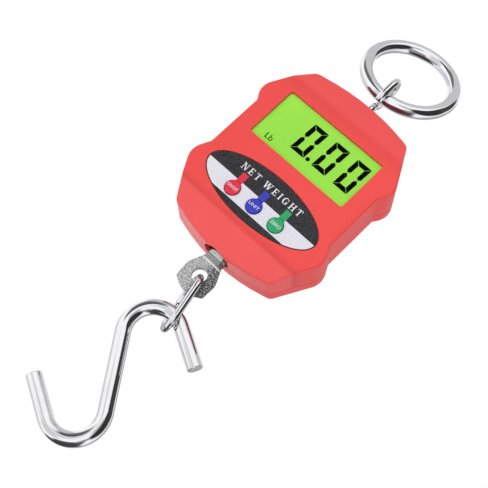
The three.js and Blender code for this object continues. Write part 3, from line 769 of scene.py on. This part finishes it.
# Plain plastics: colour, roughness and grain.
PLASTICS = {
    "backlight": ((0.75, 0.90, 0.60), 0.3, 1.0),
    "strip_rubber": ((0.35, 0.36, 0.40), 0.7, 1.0),
    "dark_plastic": ((0.03, 0.03, 0.035), 0.42, 1.0),
    "button_red": ((0.80, 0.026, 0.060), 0.35, 0.5),
    "button_blue": ((0.036, 0.046, 0.53), 0.35, 0.5),
    "button_green": ((0.02, 0.41, 0.145), 0.35, 0.5),
    "gauge_film": ((0.60, 0.28, 0.06), 0.5, 1.0),
    "lead_red": ((0.45, 0.02, 0.02), 0.5, 1.0),
    "lead_black": ((0.02, 0.02, 0.02), 0.5, 1.0),
    "cable_grey": ((0.55, 0.55, 0.55), 0.5, 1.0),
}
# Inks: colour, roughness and how far the colour varies.
INKS = {
    "label_print": ((0.026, 0.026, 0.029), 0.38, 0.75),
    "label_white": ((0.82, 0.81, 0.88), 0.38, 0.06),
    "letter_white": ((0.86, 0.86, 0.88), 0.38, 0.06),
}
# Plain metals: colour and roughness.
METALS = {
    "zinc_steel": ((0.62, 0.63, 0.64), 0.32),
    "aluminium": ((0.66, 0.67, 0.69), 0.38),
    "brass": ((0.72, 0.55, 0.25), 0.3),
}
MADE = {
    "case_plastic": case_plastic(),
    "front_plastic": front_plastic(),
    "display_lens": clear_cover(),
    "lcd_green": display_green(),
    "lcd_ink": display_ink(),
    "board_green": circuit_board(),
    "chrome": chrome("chrome"),
    # The link's chrome, with a painted dark shade at its rim.
    "wire_chrome": chrome("wire_chrome", 0.3),
    "forged_steel": cast_steel(),
    "battery_wrap": battery_wrap(),
    **{name: moulded(name, *look) for name, look in PLASTICS.items()},
    **{name: printed(name, *look) for name, look in INKS.items()},
    **{name: plated(name, *look) for name, look in METALS.items()},
}
FINISHES = {name: finish.material for name, finish in MADE.items()}

# ---------------- case shells

# Angles in degrees: the case's faces are shaded apart above the first, and its rims are the
# edges sharper than the second.
CASE_SMOOTH = 17
RIM_ANGLE = 15
# How far a cutter reaches past the face that it cuts.
BEYOND = 1.0


def front_depth(z, distance):
    """Depth of the front face at a height: flat in the middle, sloping back at both ends."""
    upper = UPPER_CREASE_Z - distance * math.tan(UPPER_FACET_ANGLE / 2)
    lower = LOWER_CREASE_Z + distance * math.tan(LOWER_FACET_ANGLE / 2)
    back = max(0, (z - upper) * math.tan(UPPER_FACET_ANGLE), (lower - z) * math.tan(LOWER_FACET_ANGLE))
    return FRONT_Y + distance + back


def case_body(name, distance, front_y, back_y, fillet=0.0):
    """The case's outside, or its inside when inset, between two depths."""
    outline = rounded(inset(both_sides(CASE_CORNERS), distance), math.radians(4))
    body = prism(name, outline, front_y, back_y)
    bm = bmesh.new()
    bm.from_mesh(body.data)
    if front_y <= FRONT_Y + distance:
        creases = ((UPPER_CREASE_Z, -UPPER_FACET_ANGLE), (LOWER_CREASE_Z, LOWER_FACET_ANGLE))
        for outer_z, angle in creases:
            crease_z = outer_z + distance * math.tan(angle / 2)
            everything = [*bm.verts, *bm.edges, *bm.faces]
            bmesh.ops.bisect_plane(bm, geom=everything, plane_co=(0, 0, crease_z), plane_no=(0, 0, 1))
        for vert in bm.verts:
            if vert.co.y < (front_y + back_y) / 2:
                vert.co.y = front_depth(vert.co.z, distance)
    if fillet:
        bm.normal_update()
        facing = -1 if front_y <= FRONT_Y else 1
        rims = [
            edge for edge in bm.edges
            if edge.calc_face_angle(0) > math.radians(RIM_ANGLE)
            and any(face.normal.y * facing > 0.8 for face in edge.link_faces)
        ]
        bmesh.ops.bevel(bm, geom=rims, offset=fillet, segments=8, profile=0.5, affect="EDGES")
    bm.to_mesh(body.data)
    bm.free()
    return body


def load_line_holes():
    """Cutters along the load line, for the eye above and the swivel below."""
    return [
        turned(name, [(0, low), (radius, low), (radius, high), (0, high)])
        for name, (radius, low, high) in LOAD_HOLES.items()
    ]


def button_well(x):
    """A cutter for the round hole that a button moves in."""
    radius = BUTTON_RADIUS + BUTTON_CLEARANCE
    return peg("well", radius, x, BUTTON_Z, FRONT_Y - BEYOND, FRONT_Y + WALL + BEYOND)


def front_case():
    """The front shell, with its window, its pocket for the label and its holes for the buttons."""
    shell = case_body("front_case", 0, FRONT_Y, PARTING_Y - GAP / 2, FILLET)
    low_z = WINDOW_Z - WINDOW_HALF_HEIGHT
    high_z = WINDOW_Z + WINDOW_HALF_HEIGHT
    window = rectangle(WINDOW_HALF_WIDTH, low_z, high_z, WINDOW_RADIUS)
    cutters = [
        case_body("hollow", WALL, FRONT_Y + WALL, PARTING_Y + BEYOND),
        prism("window", window, FRONT_Y - BEYOND, FRONT_Y + WALL + BEYOND),
        prism("pocket", ellipse(GAP), FRONT_Y - BEYOND, FRONT_Y + LABEL_POCKET),
        *load_line_holes(),
        *[button_well(x) for x in BUTTON_XS],
    ]
    cut_out(shell, cutters, FRONT_EDGE)
    finish_piece(shell, "case", "front_plastic", ["front_shell"], CASE_SMOOTH)


def back_case():
    """The back shell, with the door's opening, the battery bays and the screw bosses."""
    shell = case_body("back_case", 0, PARTING_Y + GAP / 2, BACK_Y, BACK_FILLET)
    hollow = case_body("hollow", WALL, PARTING_Y - BEYOND, BACK_Y - WALL)
    combine(shell, [hollow], "DIFFERENCE")
    opening_y = BACK_Y - DOOR_THICKNESS - GAP
    web_y = opening_y - DOOR_WEB
    inside_y = BACK_Y - WALL + 0.5
    low_z = DOOR_LOW_Z - DOOR_WEB_MARGIN
    high_z = DOOR_HIGH_Z + DOOR_WEB_MARGIN
    web = rectangle(DOOR_HALF_WIDTH + DOOR_WEB_MARGIN, low_z, high_z, 3)
    opening = rectangle(DOOR_HALF_WIDTH + GAP, DOOR_LOW_Z - GAP, DOOR_HIGH_Z + GAP, DOOR_RADIUS + GAP)
    added = [
        prism("web", web, web_y, inside_y),
        peg("notch_wall", NOTCH_RADIUS + DOOR_WEB, 0, NOTCH_Z, web_y, inside_y),
    ]
    cutters = [
        prism("opening", opening, opening_y, BACK_Y + BEYOND),
        peg("thumb_notch", NOTCH_RADIUS, 0, NOTCH_Z, opening_y, BACK_Y + BEYOND),
        *load_line_holes(),
    ]
    for x in (-BAY_X, BAY_X):
        left = x - BAY_HALF_WIDTH
        right = x + BAY_HALF_WIDTH
        added.append(block(
            "bay_wall",
            (left - BAY_WALL, BAY_FLOOR_Y - BAY_WALL, BAY_LOW_Z - BAY_WALL),
            (right + BAY_WALL, opening_y - BAY_WALL_SET_BACK, BAY_HIGH_Z + BAY_WALL),
        ))
        cutters.append(block("bay", (left, BAY_FLOOR_Y, BAY_LOW_Z), (right, BACK_Y, BAY_HIGH_Z)))
    for x in (-TAB_X, TAB_X):
        half = TAB_HALF_WIDTH + GAP
        front_y, back_y = TAB_SLOT_Y
        low = (x - half, front_y, DOOR_LOW_Z - TAB_REACH - GAP)
        cutters.append(block("tab_slot", low, (x + half, back_y, DOOR_LOW_Z + 3.5)))
    for x, z in BOSSES:
        head_y = SCREW_HEAD_Y - GAP
        added.append(peg("boss", BOSS_RADIUS, x, z, PARTING_Y + GAP, BACK_Y - WALL + BEYOND, 32))
        cutters.append(peg("screw_hole", SCREW_HOLE_RADIUS, x, z, PARTING_Y - BEYOND, BACK_Y + BEYOND, 24))
        cutters.append(peg("screw_recess", SCREW_HEAD_RADIUS + GAP, x, z, head_y, BACK_Y + BEYOND))
    combine(shell, added, "UNION")
    cut_out(shell, cutters, BACK_EDGE)
    finish_piece(shell, "case", "case_plastic", ["back_shell"], CASE_SMOOTH)


def door():
    """The battery door: a flat plate with finger grooves and two tabs under its lower edge."""
    outline = rectangle(DOOR_HALF_WIDTH, DOOR_LOW_Z, DOOR_HIGH_Z, DOOR_RADIUS)
    plate = prism("door", outline, BACK_Y - DOOR_THICKNESS, BACK_Y)
    tabs = []
    for x in (-TAB_X, TAB_X):
        left = x - TAB_HALF_WIDTH
        right = x + TAB_HALF_WIDTH
        low = (left, TAB_FRONT_Y, DOOR_LOW_Z - TAB_REACH)
        tabs.append(block("tab", low, (right, TAB_BACK_Y, DOOR_LOW_Z + 1.8)))
        low = (left, TAB_FRONT_Y + 0.05, DOOR_LOW_Z + 0.4)
        tabs.append(block("tab_root", low, (right, BACK_Y - 1, DOOR_LOW_Z + 1.75)))
    combine(plate, tabs, "UNION")
    grooves = []
    for z in GROOVE_ZS:
        low_z = z - GROOVE_HALF_HEIGHT
        high_z = z + GROOVE_HALF_HEIGHT
        groove = rectangle(GROOVE_HALF_WIDTH, low_z, high_z, GROOVE_HALF_HEIGHT - 0.02)
        grooves.append(prism("groove", groove, BACK_Y - GROOVE_DEPTH, BACK_Y + BEYOND))
    cut_out(plate, grooves, DOOR_EDGE)
    finish_piece(plate, "door", "case_plastic", ["battery_door"])


front_case()
back_case()
door()

# ---------------- display


def digit_zero(left, index):
    """The six lit bars of a zero, as thin plates in the display."""
    width, height = DIGIT_SIZE
    stroke = DIGIT_STROKE
    gap = SEGMENT_GAP
    middle = height / 2
    outer = width - gap
    inner = outer - stroke
    bars = [
        [(gap, height), (outer, height), (inner, height - stroke), (gap + stroke, height - stroke)],
        [(gap, 0), (gap + stroke, stroke), (inner, stroke), (outer, 0)],
    ]
    for low, high, point_low in ((0, middle, False), (middle, height, True)):
        flat, sharp = (high, low) if point_low else (low, high)
        toward = 1 if point_low else -1
        side = [
            (0, flat - toward * gap),
            (stroke, flat - toward * (gap + stroke)),
            (stroke, sharp + toward * (gap + stroke / 2)),
            (stroke / 2, sharp + toward * gap),
            (0, sharp + toward * (gap + stroke / 2)),
        ]
        bars.append(side)
        bars.append([(width - x, z) for x, z in side])
    for number, bar in enumerate(bars):
        points = [(left + x + DIGIT_SLANT * z, DIGIT_LOW_Z + z) for x, z in bar]
        plate = prism(f"digit_{index}_bar_{number + 1}", points, INK_Y, LCD_Y)
        finish_piece(plate, "case", "lcd_ink")


def written(name, text, size, x, z, middle_y, thickness, width=None):
    """Plain lettering centred on (x, z) and (where given) fitted to a width, as thin solids."""
    curve = bpy.data.curves.new(name, "FONT")
    curve.body = text
    curve.size = size
    curve.align_x = "CENTER"
    curve.align_y = "CENTER"
    curve.extrude = thickness / 2
    holder = bpy.data.objects.new(name, curve)
    bpy.context.scene.collection.objects.link(holder)
    bpy.context.view_layer.update()
    graph = bpy.context.evaluated_depsgraph_get()
    mesh = bpy.data.meshes.new_from_object(holder.evaluated_get(graph))
    bpy.data.objects.remove(holder)
    if width:
        span = max(v.co.x for v in mesh.vertices) - min(v.co.x for v in mesh.vertices)
        mesh.transform(Matrix.Diagonal((width / span, 1, 1, 1)))
    mesh.transform(Matrix.Translation((x, middle_y, z)) @ Matrix.Rotation(math.pi / 2, 4, "X"))
    piece = bpy.data.objects.new(name, mesh)
    bpy.context.scene.collection.objects.link(piece)
    return piece


def display():
    """The green panel, its digits, dot and unit, and the clear cover over them."""
    low_z = WINDOW_Z - WINDOW_HALF_HEIGHT + GAP / 2
    high_z = WINDOW_Z + WINDOW_HALF_HEIGHT - GAP / 2
    outline = rectangle(WINDOW_HALF_WIDTH - GAP / 2, low_z, high_z, WINDOW_RADIUS)
    panel = prism("lcd_cell", outline, LCD_Y, LCD_BACK_Y)
    finish_piece(panel, "case", "lcd_green", ["lcd_panel"])
    cover = prism("display_cover", outline, COVER_Y, COVER_Y + COVER_THICKNESS)
    soften(cover, 0.05)
    finish_piece(cover, "case", "display_lens", ["display_lens"])
    for index, left in enumerate(DIGIT_LEFTS):
        digit_zero(left, index + 1)
    dot = peg("decimal_dot", DOT_RADIUS, *DOT_PLACE, INK_Y, LCD_Y, 24)
    finish_piece(dot, "case", "lcd_ink")
    place = (*UNIT_PLACE, (INK_Y + LCD_Y) / 2)
    unit = written("unit_letters", "Lb", UNIT_SIZE, *place, UNIT_THICKNESS)
    finish_piece(unit, "case", "lcd_ink")


display()

# ---------------- serif capitals

THICK = 0.18
THIN = 0.09
SERIF_REACH = 0.19
SERIF_HEIGHT = 0.065


def strip(left, right, low, high):
    """A level or upright stroke."""
    return [(left, low), (right, low), (right, high), (left, high)]


def upright(x, width):
    """An upright stroke of the full height."""
    return strip(x - width / 2, x + width / 2, 0, 1)


def slope(top_x, low_x, width):
    """A slanting stroke of the full height."""
    half = width / 2
    return [(low_x - half, 0), (low_x + half, 0), (top_x + half, 1), (top_x - half, 1)]


def serifs(feet, caps):
    """Serifs on the base line and at the top."""
    places = [(x, 0) for x in feet] + [(x, 1 - SERIF_HEIGHT) for x in caps]
    return [strip(x - SERIF_REACH, x + SERIF_REACH, low, low + SERIF_HEIGHT) for x, low in places]


def bowl():
    """The open round of a G, thicker on its left."""
    turns = [math.radians(40 + 10 * step) for step in range(29)]
    outer = [(0.46 + 0.42 * math.cos(turn), 0.5 + 0.5 * math.sin(turn)) for turn in turns]
    inner = [(0.50 + 0.27 * math.cos(turn), 0.5 + 0.42 * math.sin(turn)) for turn in turns]
    return outer + inner[::-1]


# Each capital is its width and its strokes, for a height of one.
CAPITALS = {
    "N": (0.95, [
        upright(0.17, THIN),
        upright(0.78, THIN),
        slope(0.20, 0.74, THICK),
        *serifs([0.17], [0.13, 0.78]),
    ]),
    "E": (0.80, [
        upright(0.22, THICK),
        strip(0.05, 0.70, 0.92, 1),
        strip(0.20, 0.58, 0.46, 0.54),
        strip(0.05, 0.74, 0, 0.08),
        strip(0.63, 0.70, 0.76, 1),
        strip(0.52, 0.58, 0.37, 0.63),
        strip(0.67, 0.74, 0, 0.26),
    ]),
    "T": (0.84, [
        upright(0.42, THICK),
        *serifs([0.42], []),
        strip(0.04, 0.80, 0.92, 1),
        strip(0.04, 0.11, 0.74, 1),
        strip(0.73, 0.80, 0.74, 1),
    ]),
    "W": (1.28, [
        slope(0.14, 0.38, THICK),
        slope(0.63, 0.40, THIN),
        slope(0.63, 0.88, THICK),
        slope(1.14, 0.90, THIN),
        *serifs([], [0.15, 0.63, 1.14]),
    ]),
    "I": (0.42, [upright(0.21, THICK), *serifs([0.21], [0.21])]),
    "G": (0.95, [
        bowl(),
        strip(0.62, 0.80, 0.05, 0.44),
        strip(0.54, 0.88, 0.40, 0.46),
        strip(0.74, 0.80, 0.66, 0.93),
    ]),
    "H": (0.95, [
        upright(0.20, THICK),
        upright(0.75, THICK),
        strip(0.20, 0.75, 0.46, 0.54),
        *serifs([0.20, 0.75], [0.20, 0.75]),
    ]),
    " ": (0.25, []),
}


def serif_line(name, text, z, front_y, back_y):
    """The title: serif capitals as thin plates, centred on a height and spaced out to its width."""
    widths = [CAPITALS[letter][0] for letter in text]
    spacing = (TITLE_WIDTH / TITLE_HEIGHT - sum(widths)) / (len(text) - 1)
    left = -TITLE_WIDTH / 2
    strokes = []
    for letter, letter_width in zip(text, widths):
        for outline in CAPITALS[letter][1]:
            points = [(left + u * TITLE_HEIGHT, z + (v - 0.5) * TITLE_HEIGHT) for u, v in outline]
            strokes.append(prism(name, points, front_y, back_y))
        left += (letter_width + spacing) * TITLE_HEIGHT
    line = strokes[0]
    combine(line, strokes[1:], "UNION")
    line.name = name
    return line


# ---------------- label and buttons

TITLE = "NET WEIGHT"
BUTTONS = [
    ("power", "button_red", "ON/OFF"),
    ("unit", "button_blue", "UNIT"),
    ("zero", "button_green", "ZERO"),
]


def label_cut(low_z, high_z, grow):
    """The part of the label's ellipse between two heights, as an outline."""
    kept = []
    outline = ellipse(grow, 256)
    for index, (x, z) in enumerate(outline):
        after_x, after_z = outline[(index + 1) % len(outline)]
        if low_z <= z <= high_z:
            kept.append((x, z))
        for limit in (low_z, high_z):
            if (z - limit) * (after_z - limit) < 0:
                share = (limit - z) / (after_z - z)
                kept.append((x + share * (after_x - x), limit))
    return kept


def label():
    """The printed film: a dark oval, a white band, the title and a coloured tab above each button."""
    film = prism("label_film", ellipse(0), LABEL_FACE_Y, LABEL_FACE_Y + LABEL_THICKNESS)
    combine(film, [button_well(x) for x in BUTTON_XS], "DIFFERENCE")
    finish_piece(film, "case", "label_print", ["label_overlay"])

    print_y = LABEL_FACE_Y - PRINT_THICKNESS
    outline = label_cut(BAND_LOW_Z, BAND_TOP_Z, -BAND_INSET)
    band = prism("label_band", outline, print_y, LABEL_FACE_Y)
    combine(band, [button_well(x) for x in BUTTON_XS], "DIFFERENCE")
    finish_piece(band, "case", "label_white")

    title = serif_line("label_letters", TITLE, TITLE_Z, LABEL_FACE_Y - TITLE_THICKNESS, LABEL_FACE_Y)
    finish_piece(title, "case", "letter_white")

    for x, (key, finish, _) in zip(BUTTON_XS, BUTTONS):
        outline = rectangle(KEY_TAB_HALF_WIDTH, BUTTON_Z + 2, KEY_TAB_TOP_Z, KEY_TAB_RADIUS, x)
        tab = prism(f"{key}_tab", outline, print_y - PRINT_THICKNESS, LABEL_FACE_Y)
        combine(tab, [button_well(x)], "DIFFERENCE")
        finish_piece(tab, "case", finish)


def button(x, key, finish, word):
    """A cap with a slightly domed face, its flange behind the wall, and its word."""
    profile = [
        (BUTTON_FLANGE_RADIUS, BUTTON_BACK_Y),
        (BUTTON_FLANGE_RADIUS, BUTTON_FLANGE_Y),
        (BUTTON_RADIUS, BUTTON_FLANGE_Y),
        (BUTTON_RADIUS, BUTTON_FACE_Y + 0.35),
        (BUTTON_RADIUS - 0.1, BUTTON_FACE_Y + 0.14),
        (BUTTON_RADIUS - 0.35, BUTTON_FACE_Y + 0.04),
        (BUTTON_RADIUS * 0.6, BUTTON_FACE_Y),
    ]
    piece = loft(f"{key}_cap", [
        [(px, y, pz) for px, pz in circle(radius, x, BUTTON_Z, BUTTON_SIDES)]
        for radius, y in profile
    ])
    finish_piece(piece, f"{key}_key", finish, [f"{key}_button"])
    place = (x, BUTTON_Z, BUTTON_FACE_Y)
    letters = written(f"{key}_letters", word, WORD_SIZE, *place, WORD_THICKNESS, WORD_WIDTH)
    finish_piece(letters, f"{key}_key", "letter_white")


label()
for button_x, (key, finish, word) in zip(BUTTON_XS, BUTTONS):
    button(button_x, key, finish, word)

# ---------------- ring, eye, swivel, link and hook


def arc(centre, radius, start, sweep, step=math.radians(5)):
    """Points along an arc in a (u, z) plane."""
    count = max(2, round(abs(sweep) / step))
    return [
        Vector((
            centre[0] + radius * math.cos(start + sweep * i / count),
            centre[1] + radius * math.sin(start + sweep * i / count),
        ))
        for i in range(count + 1)
    ]


def without_repeats(points):
    """A path without its doubled points."""
    kept = [points[0]]
    for point in points[1:]:
        if (point - kept[-1]).length > 1e-4:
            kept.append(point)
    return kept


def bar(name, path, radius, place, closed=False, sides=32):
    """A round bar along a flat (u, z) path, with chamfered ends; place maps (u, 0, z) to the case."""
    path = without_repeats(path)
    loops = []

    def add_loop(point, along, size):
        across = Vector((-along.y, along.x))
        flat = [(point + across * c, s) for c, s in circle(size, 0, 0, sides)]
        loops.append([place @ Vector((spot.x, s, spot.y)) for spot, s in flat])

    count = len(path)
    for index, point in enumerate(path):
        if closed:
            along = path[(index + 1) % count] - path[index - 1]
        else:
            along = path[min(index + 1, count - 1)] - path[max(index - 1, 0)]
        along.normalize()
        if not closed and index == 0:
            add_loop(point, along, radius - BAR_CHAMFER)
            add_loop(point + along * BAR_CHAMFER, along, radius)
        elif not closed and index == count - 1:
            add_loop(point - along * BAR_CHAMFER, along, radius)
            add_loop(point, along, radius - BAR_CHAMFER)
        else:
            add_loop(point, along, radius)
    return loft(name, loops, closed)


def holding_ring():
    """The ring, hung in the eye and leaning back."""
    anchor = joint_place("ring_swing")
    place = Matrix.Translation(anchor) @ Matrix.Rotation(-RING_LEAN, 4, "X")
    path = arc((0, RING_RADIUS), RING_RADIUS, 0, 2 * math.pi, math.radians(2.5))[:-1]
    ring = bar("holding_ring", path, RING_WIRE, place, closed=True, sides=48)
    finish_piece(ring, "holding_ring", "chrome", ["ring"], 60)


def eye():
    """A shank bent sideways and then round into a long loop, in one upright plane."""
    bend_centre = (EYE_LOOP, EYE_LOW_Z - 2 * EYE_LOOP * math.sin(EYE_BEND))
    path = [Vector((0, EYE_FOOT_Z))]
    path += arc(bend_centre, EYE_LOOP, math.pi, -EYE_BEND)
    path += arc((0, EYE_LOW_Z), EYE_LOOP, -EYE_BEND, EYE_BEND)
    path += arc((0, EYE_HIGH_Z), EYE_LOOP, 0, math.pi)
    last = arc((0, EYE_LOW_Z), EYE_LOOP, math.pi, EYE_BEND - 0.15)
    path += last
    path.append(last[-1] + (last[-1] - last[-2]).normalized() * 0.4)
    place = Matrix.Translation((0, LOAD_Y, 0)) @ Matrix.Rotation(EYE_TURN + math.pi / 2, 4, "Z")
    piece = bar("eye", path, EYE_WIRE, place)
    finish_piece(piece, "case", "chrome", ["top_eye"], 60)


def neck_flats():
    """The space the shank is forged into: flat in front and behind, and wedged down to the plate."""
    half = PLATE_HALF_THICKNESS - 0.1
    near_side = [
        (-6, -9),
        (-6, COLLAR_TOP_Z + 0.1),
        (-3.4, -48),
        (-3.1, -51.2),
        (-half, -52.8),
        (-half, PLATE_TOP_Z),
    ]
    far_side = [(-y, z) for y, z in reversed(near_side)]
    space = prism("neck_flats", near_side + far_side, -6, 6)
    space.data.transform(Matrix.Translation((0, LOAD_Y, 0)) @ Matrix.Rotation(math.pi / 2, 4, "Z"))
    return space


def swivel():
    """A round shank forged flat into a plate with a hole."""
    right = list(reversed(PLATE_CORNERS))
    left = [(-x, z, radius) for x, z, radius in PLATE_CORNERS]
    outline = rounded([PLATE_TIP, *right, *left], math.radians(6))
    front_y = LOAD_Y - PLATE_HALF_THICKNESS
    plate = prism("swivel_plate", outline, front_y, LOAD_Y + PLATE_HALF_THICKNESS)
    hole = peg("hole", PLATE_HOLE_RADIUS, 0, PLATE_HOLE_Z, LOAD_Y - 5, LOAD_Y + 5, 64)
    combine(plate, [hole], "DIFFERENCE")
    clean(plate)
    soften(plate, 0.45, 40, 3)
    shank = turned("shank", [
        (0, PLATE_TOP_Z + 0.6),
        (COLLAR_RADIUS, PLATE_TOP_Z + 0.6),
        (COLLAR_RADIUS, COLLAR_TOP_Z),
        (COLLAR_RADIUS - 0.25, COLLAR_TOP_Z + 0.7),
        (NECK_RADIUS, NECK_TOP_Z),
        (NECK_RADIUS, SHOULDER_Z),
        (SHANK_RADIUS, SHOULDER_Z + 0.4),
        (SHANK_RADIUS, SHANK_TOP_Z - 0.4),
        (SHANK_RADIUS - 0.4, SHANK_TOP_Z),
        (0, SHANK_TOP_Z),
    ])
    combine(shank, [neck_flats()], "INTERSECT")
    soften(shank, 0.25, 35, 2)
    combine(plate, [shank], "UNION")
    pivot = Matrix.Translation((0, 0, SWIVEL_PIVOT_Z))
    plate.data.transform(pivot @ Matrix.Rotation(-SWIVEL_TILT, 4, "Y") @ pivot.inverted())
    finish_piece(plate, "swivel", "forged_steel", ["swivel_eye"])


def chain_link():
    """An oval of round bar, butted at the middle of one side."""
    half = LINK_HALF_WIDTH
    seam = -LINK_LENGTH / 2
    path = [Vector((half, seam + LINK_SEAM / 2))]
    path += arc((0, -half), half, 0, math.pi)
    path += arc((0, half - LINK_LENGTH), half, math.pi, math.pi)
    path.append(Vector((half, seam - LINK_SEAM / 2)))
    place = Matrix.Translation(joint_place("link_swing")) @ Matrix.Rotation(-LINK_ANGLE, 4, "Y")
    place = place @ Matrix.Rotation(LINK_TWIST + math.pi / 2, 4, "Z")
    link = bar("chain_link", path, LINK_WIRE, place, sides=28)
    finish_piece(link, "chain_link", "wire_chrome", ["link"], 60)


def s_hook():
    """Two equal bends on opposite sides of a straight, each with a straight tip."""
    straight = math.asin(2 * HOOK_BEND / HOOK_SPACING)
    sweep = math.pi + straight - HOOK_TIP_ANGLE
    upper = arc((0, 0), HOOK_BEND, HOOK_TIP_ANGLE, sweep)
    lower = arc((0, -HOOK_SPACING), HOOK_BEND, straight, -sweep)
    tip = Vector((-math.sin(HOOK_TIP_ANGLE), math.cos(HOOK_TIP_ANGLE))) * HOOK_TIP
    path = [upper[0] - tip, *upper, *lower, lower[-1] + tip]
    place = Matrix.Translation(joint_place("hook_swing") - Vector((0, 0, HOOK_BEND)))
    hook = bar("s_hook_bar", path, HOOK_WIRE, place, sides=48)
    finish_piece(hook, "hook", "chrome", ["s_hook"], 60)


holding_ring()
eye()
swivel()
chain_link()
s_hook()

# ---------------- CAD nodes that stay

for name, node in frame["nodes"].items():
    node.data.materials.clear()
    node.data.materials.append(FINISHES[SLOTS[name]])

# ---------------- studio

AMBIENT = (0.80, 0.80, 0.81, 1)
FLOOR_DROP = 0.35
FLOOR_RADIUS = 2.5
LAMP_SIZE = 0.9
# Each lamp's place and power.
LAMPS = {
    "key": ((-0.7, -1.2, 0.2), 2.2),
    "low_fill": ((-0.3, -1.2, -0.6), 2.8),
    "back_fill": ((0.3, 1.1, 0.6), 2.0),
}


def matte_floor():
    """Nearly white matt board."""
    finish = Finish("floor", 0.9)
    finish.color(finish.noise(3), (0.90, 0.90, 0.90), (0.94, 0.94, 0.94))
    return finish.material


def floor():
    """A round pale floor, far enough below for the scale to hang above it."""
    z = CAD_BOUNDS[0].z - FLOOR_DROP
    bm = bmesh.new()
    bm.faces.new([bm.verts.new((x, y, z)) for x, y in circle(FLOOR_RADIUS, 0, 0, 128)])
    sheet = to_object("floor", bm)
    sheet.data.materials.append(matte_floor())
    sheet.visible_glossy = False


def area_light(name, place, power):
    """A round soft lamp that faces the case."""
    lamp = bpy.data.lights.new(name, "AREA")
    lamp.shape = "DISK"
    lamp.size = LAMP_SIZE
    lamp.energy = power
    holder = bpy.data.objects.new(name, lamp)
    holder.visible_glossy = False
    holder.location = place
    holder.rotation_euler = (CASE_MIDDLE - Vector(place)).to_track_quat("-Z", "Y").to_euler()
    bpy.context.scene.collection.objects.link(holder)


# The room as polished metal shows it. Each card is placed by its angle from the direction of the
# camera and its turn from the picture's right, with a half width and a brightness.
STUDIO_WHITE = 0.95
CARD_EDGE = 0.15
STUDIO_CARDS = [
    ("wide_right", 58, 350, 40, 0.03),
    ("rim_right", 90, 5, 24, 0.05),
    ("below", 60, 250, 30, 0.06),
    ("low_left", 98, 243, 32, 0.05),
    ("above", 74, 97, 27, 0.15),
    ("left", 44, 178, 18, 0.64),
    ("white_upper_right", 58, 60, 24, 0.95),
    ("white_upper_left", 80, 147, 25, 0.95),
    ("beside_camera", 21, 46, 10, 0.40),
    ("over_camera", 34, 130, 14, 0.64),
    ("under_camera", 37, 283, 14, 0.25),
    ("thin_above", 54, 104, 9, 0.05),
    ("behind_right", 112, 60, 40, 0.56),
    ("behind_left", 122, 180, 32, 0.66),
    ("behind_below", 140, 300, 38, 0.40),
]


def card_direction(angle, turn):
    """The direction of a card's middle, from two angles in degrees."""
    aside = CAMERA_RIGHT * math.cos(math.radians(turn)) + CAMERA_UP * math.sin(math.radians(turn))
    return aside * math.sin(math.radians(angle)) - CAMERA_FORWARD * math.cos(math.radians(angle))


def world():
    """White to the camera, even grey to matt surfaces, and a room of cards to glossy ones."""
    scene_world = bpy.data.worlds.new("studio")
    bpy.context.scene.world = scene_world
    scene_world.use_nodes = True
    tree = scene_world.node_tree
    tree.nodes.clear()
    direction = add_node(tree, "ShaderNodeTexCoord").outputs["Generated"]
    room = (STUDIO_WHITE, STUDIO_WHITE, STUDIO_WHITE, 1)
    for name, angle, turn, half_width, brightness in STUDIO_CARDS:
        facing = add_node(tree, "ShaderNodeVectorMath")
        facing.label = name
        facing.operation = "DOT_PRODUCT"
        facing.inputs[1].default_value = card_direction(angle, turn)
        tree.links.new(direction, facing.inputs[0])
        mask = add_node(tree, "ShaderNodeMapRange", Value=facing.outputs["Value"])
        mask.interpolation_type = "SMOOTHSTEP"
        for end, share in (("From Min", 1 + CARD_EDGE), ("From Max", 1 - CARD_EDGE)):
            mask.inputs[end].default_value = math.cos(math.radians(half_width * share))
        card = (brightness, brightness, brightness * 1.03, 1)
        room = mixed(tree, mask.outputs["Result"], room, card)
    path = add_node(tree, "ShaderNodeLightPath")
    room = mixed(tree, path.outputs["Is Glossy Ray"], AMBIENT, room)
    seen = mixed(tree, path.outputs["Is Camera Ray"], room, (1, 1, 1, 1))
    background = add_node(tree, "ShaderNodeBackground", Color=seen)
    add_node(tree, "ShaderNodeOutputWorld", Surface=background.outputs["Background"])


def camera():
    """The photograph's camera."""
    lens = bpy.data.cameras.new("camera")
    lens.angle = CAMERA_ANGLE
    lens.clip_start = 0.02
    lens.clip_end = 60
    holder = bpy.data.objects.new("camera", lens)
    turn = Matrix((CAMERA_RIGHT, CAMERA_UP, -CAMERA_FORWARD)).transposed().to_4x4()
    holder.matrix_world = Matrix.Translation(CAMERA_PLACE) @ turn
    bpy.context.scene.collection.objects.link(holder)
    bpy.context.scene.camera = holder


floor()
world()
for name, (place, power) in LAMPS.items():
    area_light(name, place, power)
camera()
bpy.context.scene.view_settings.view_transform = "Standard"
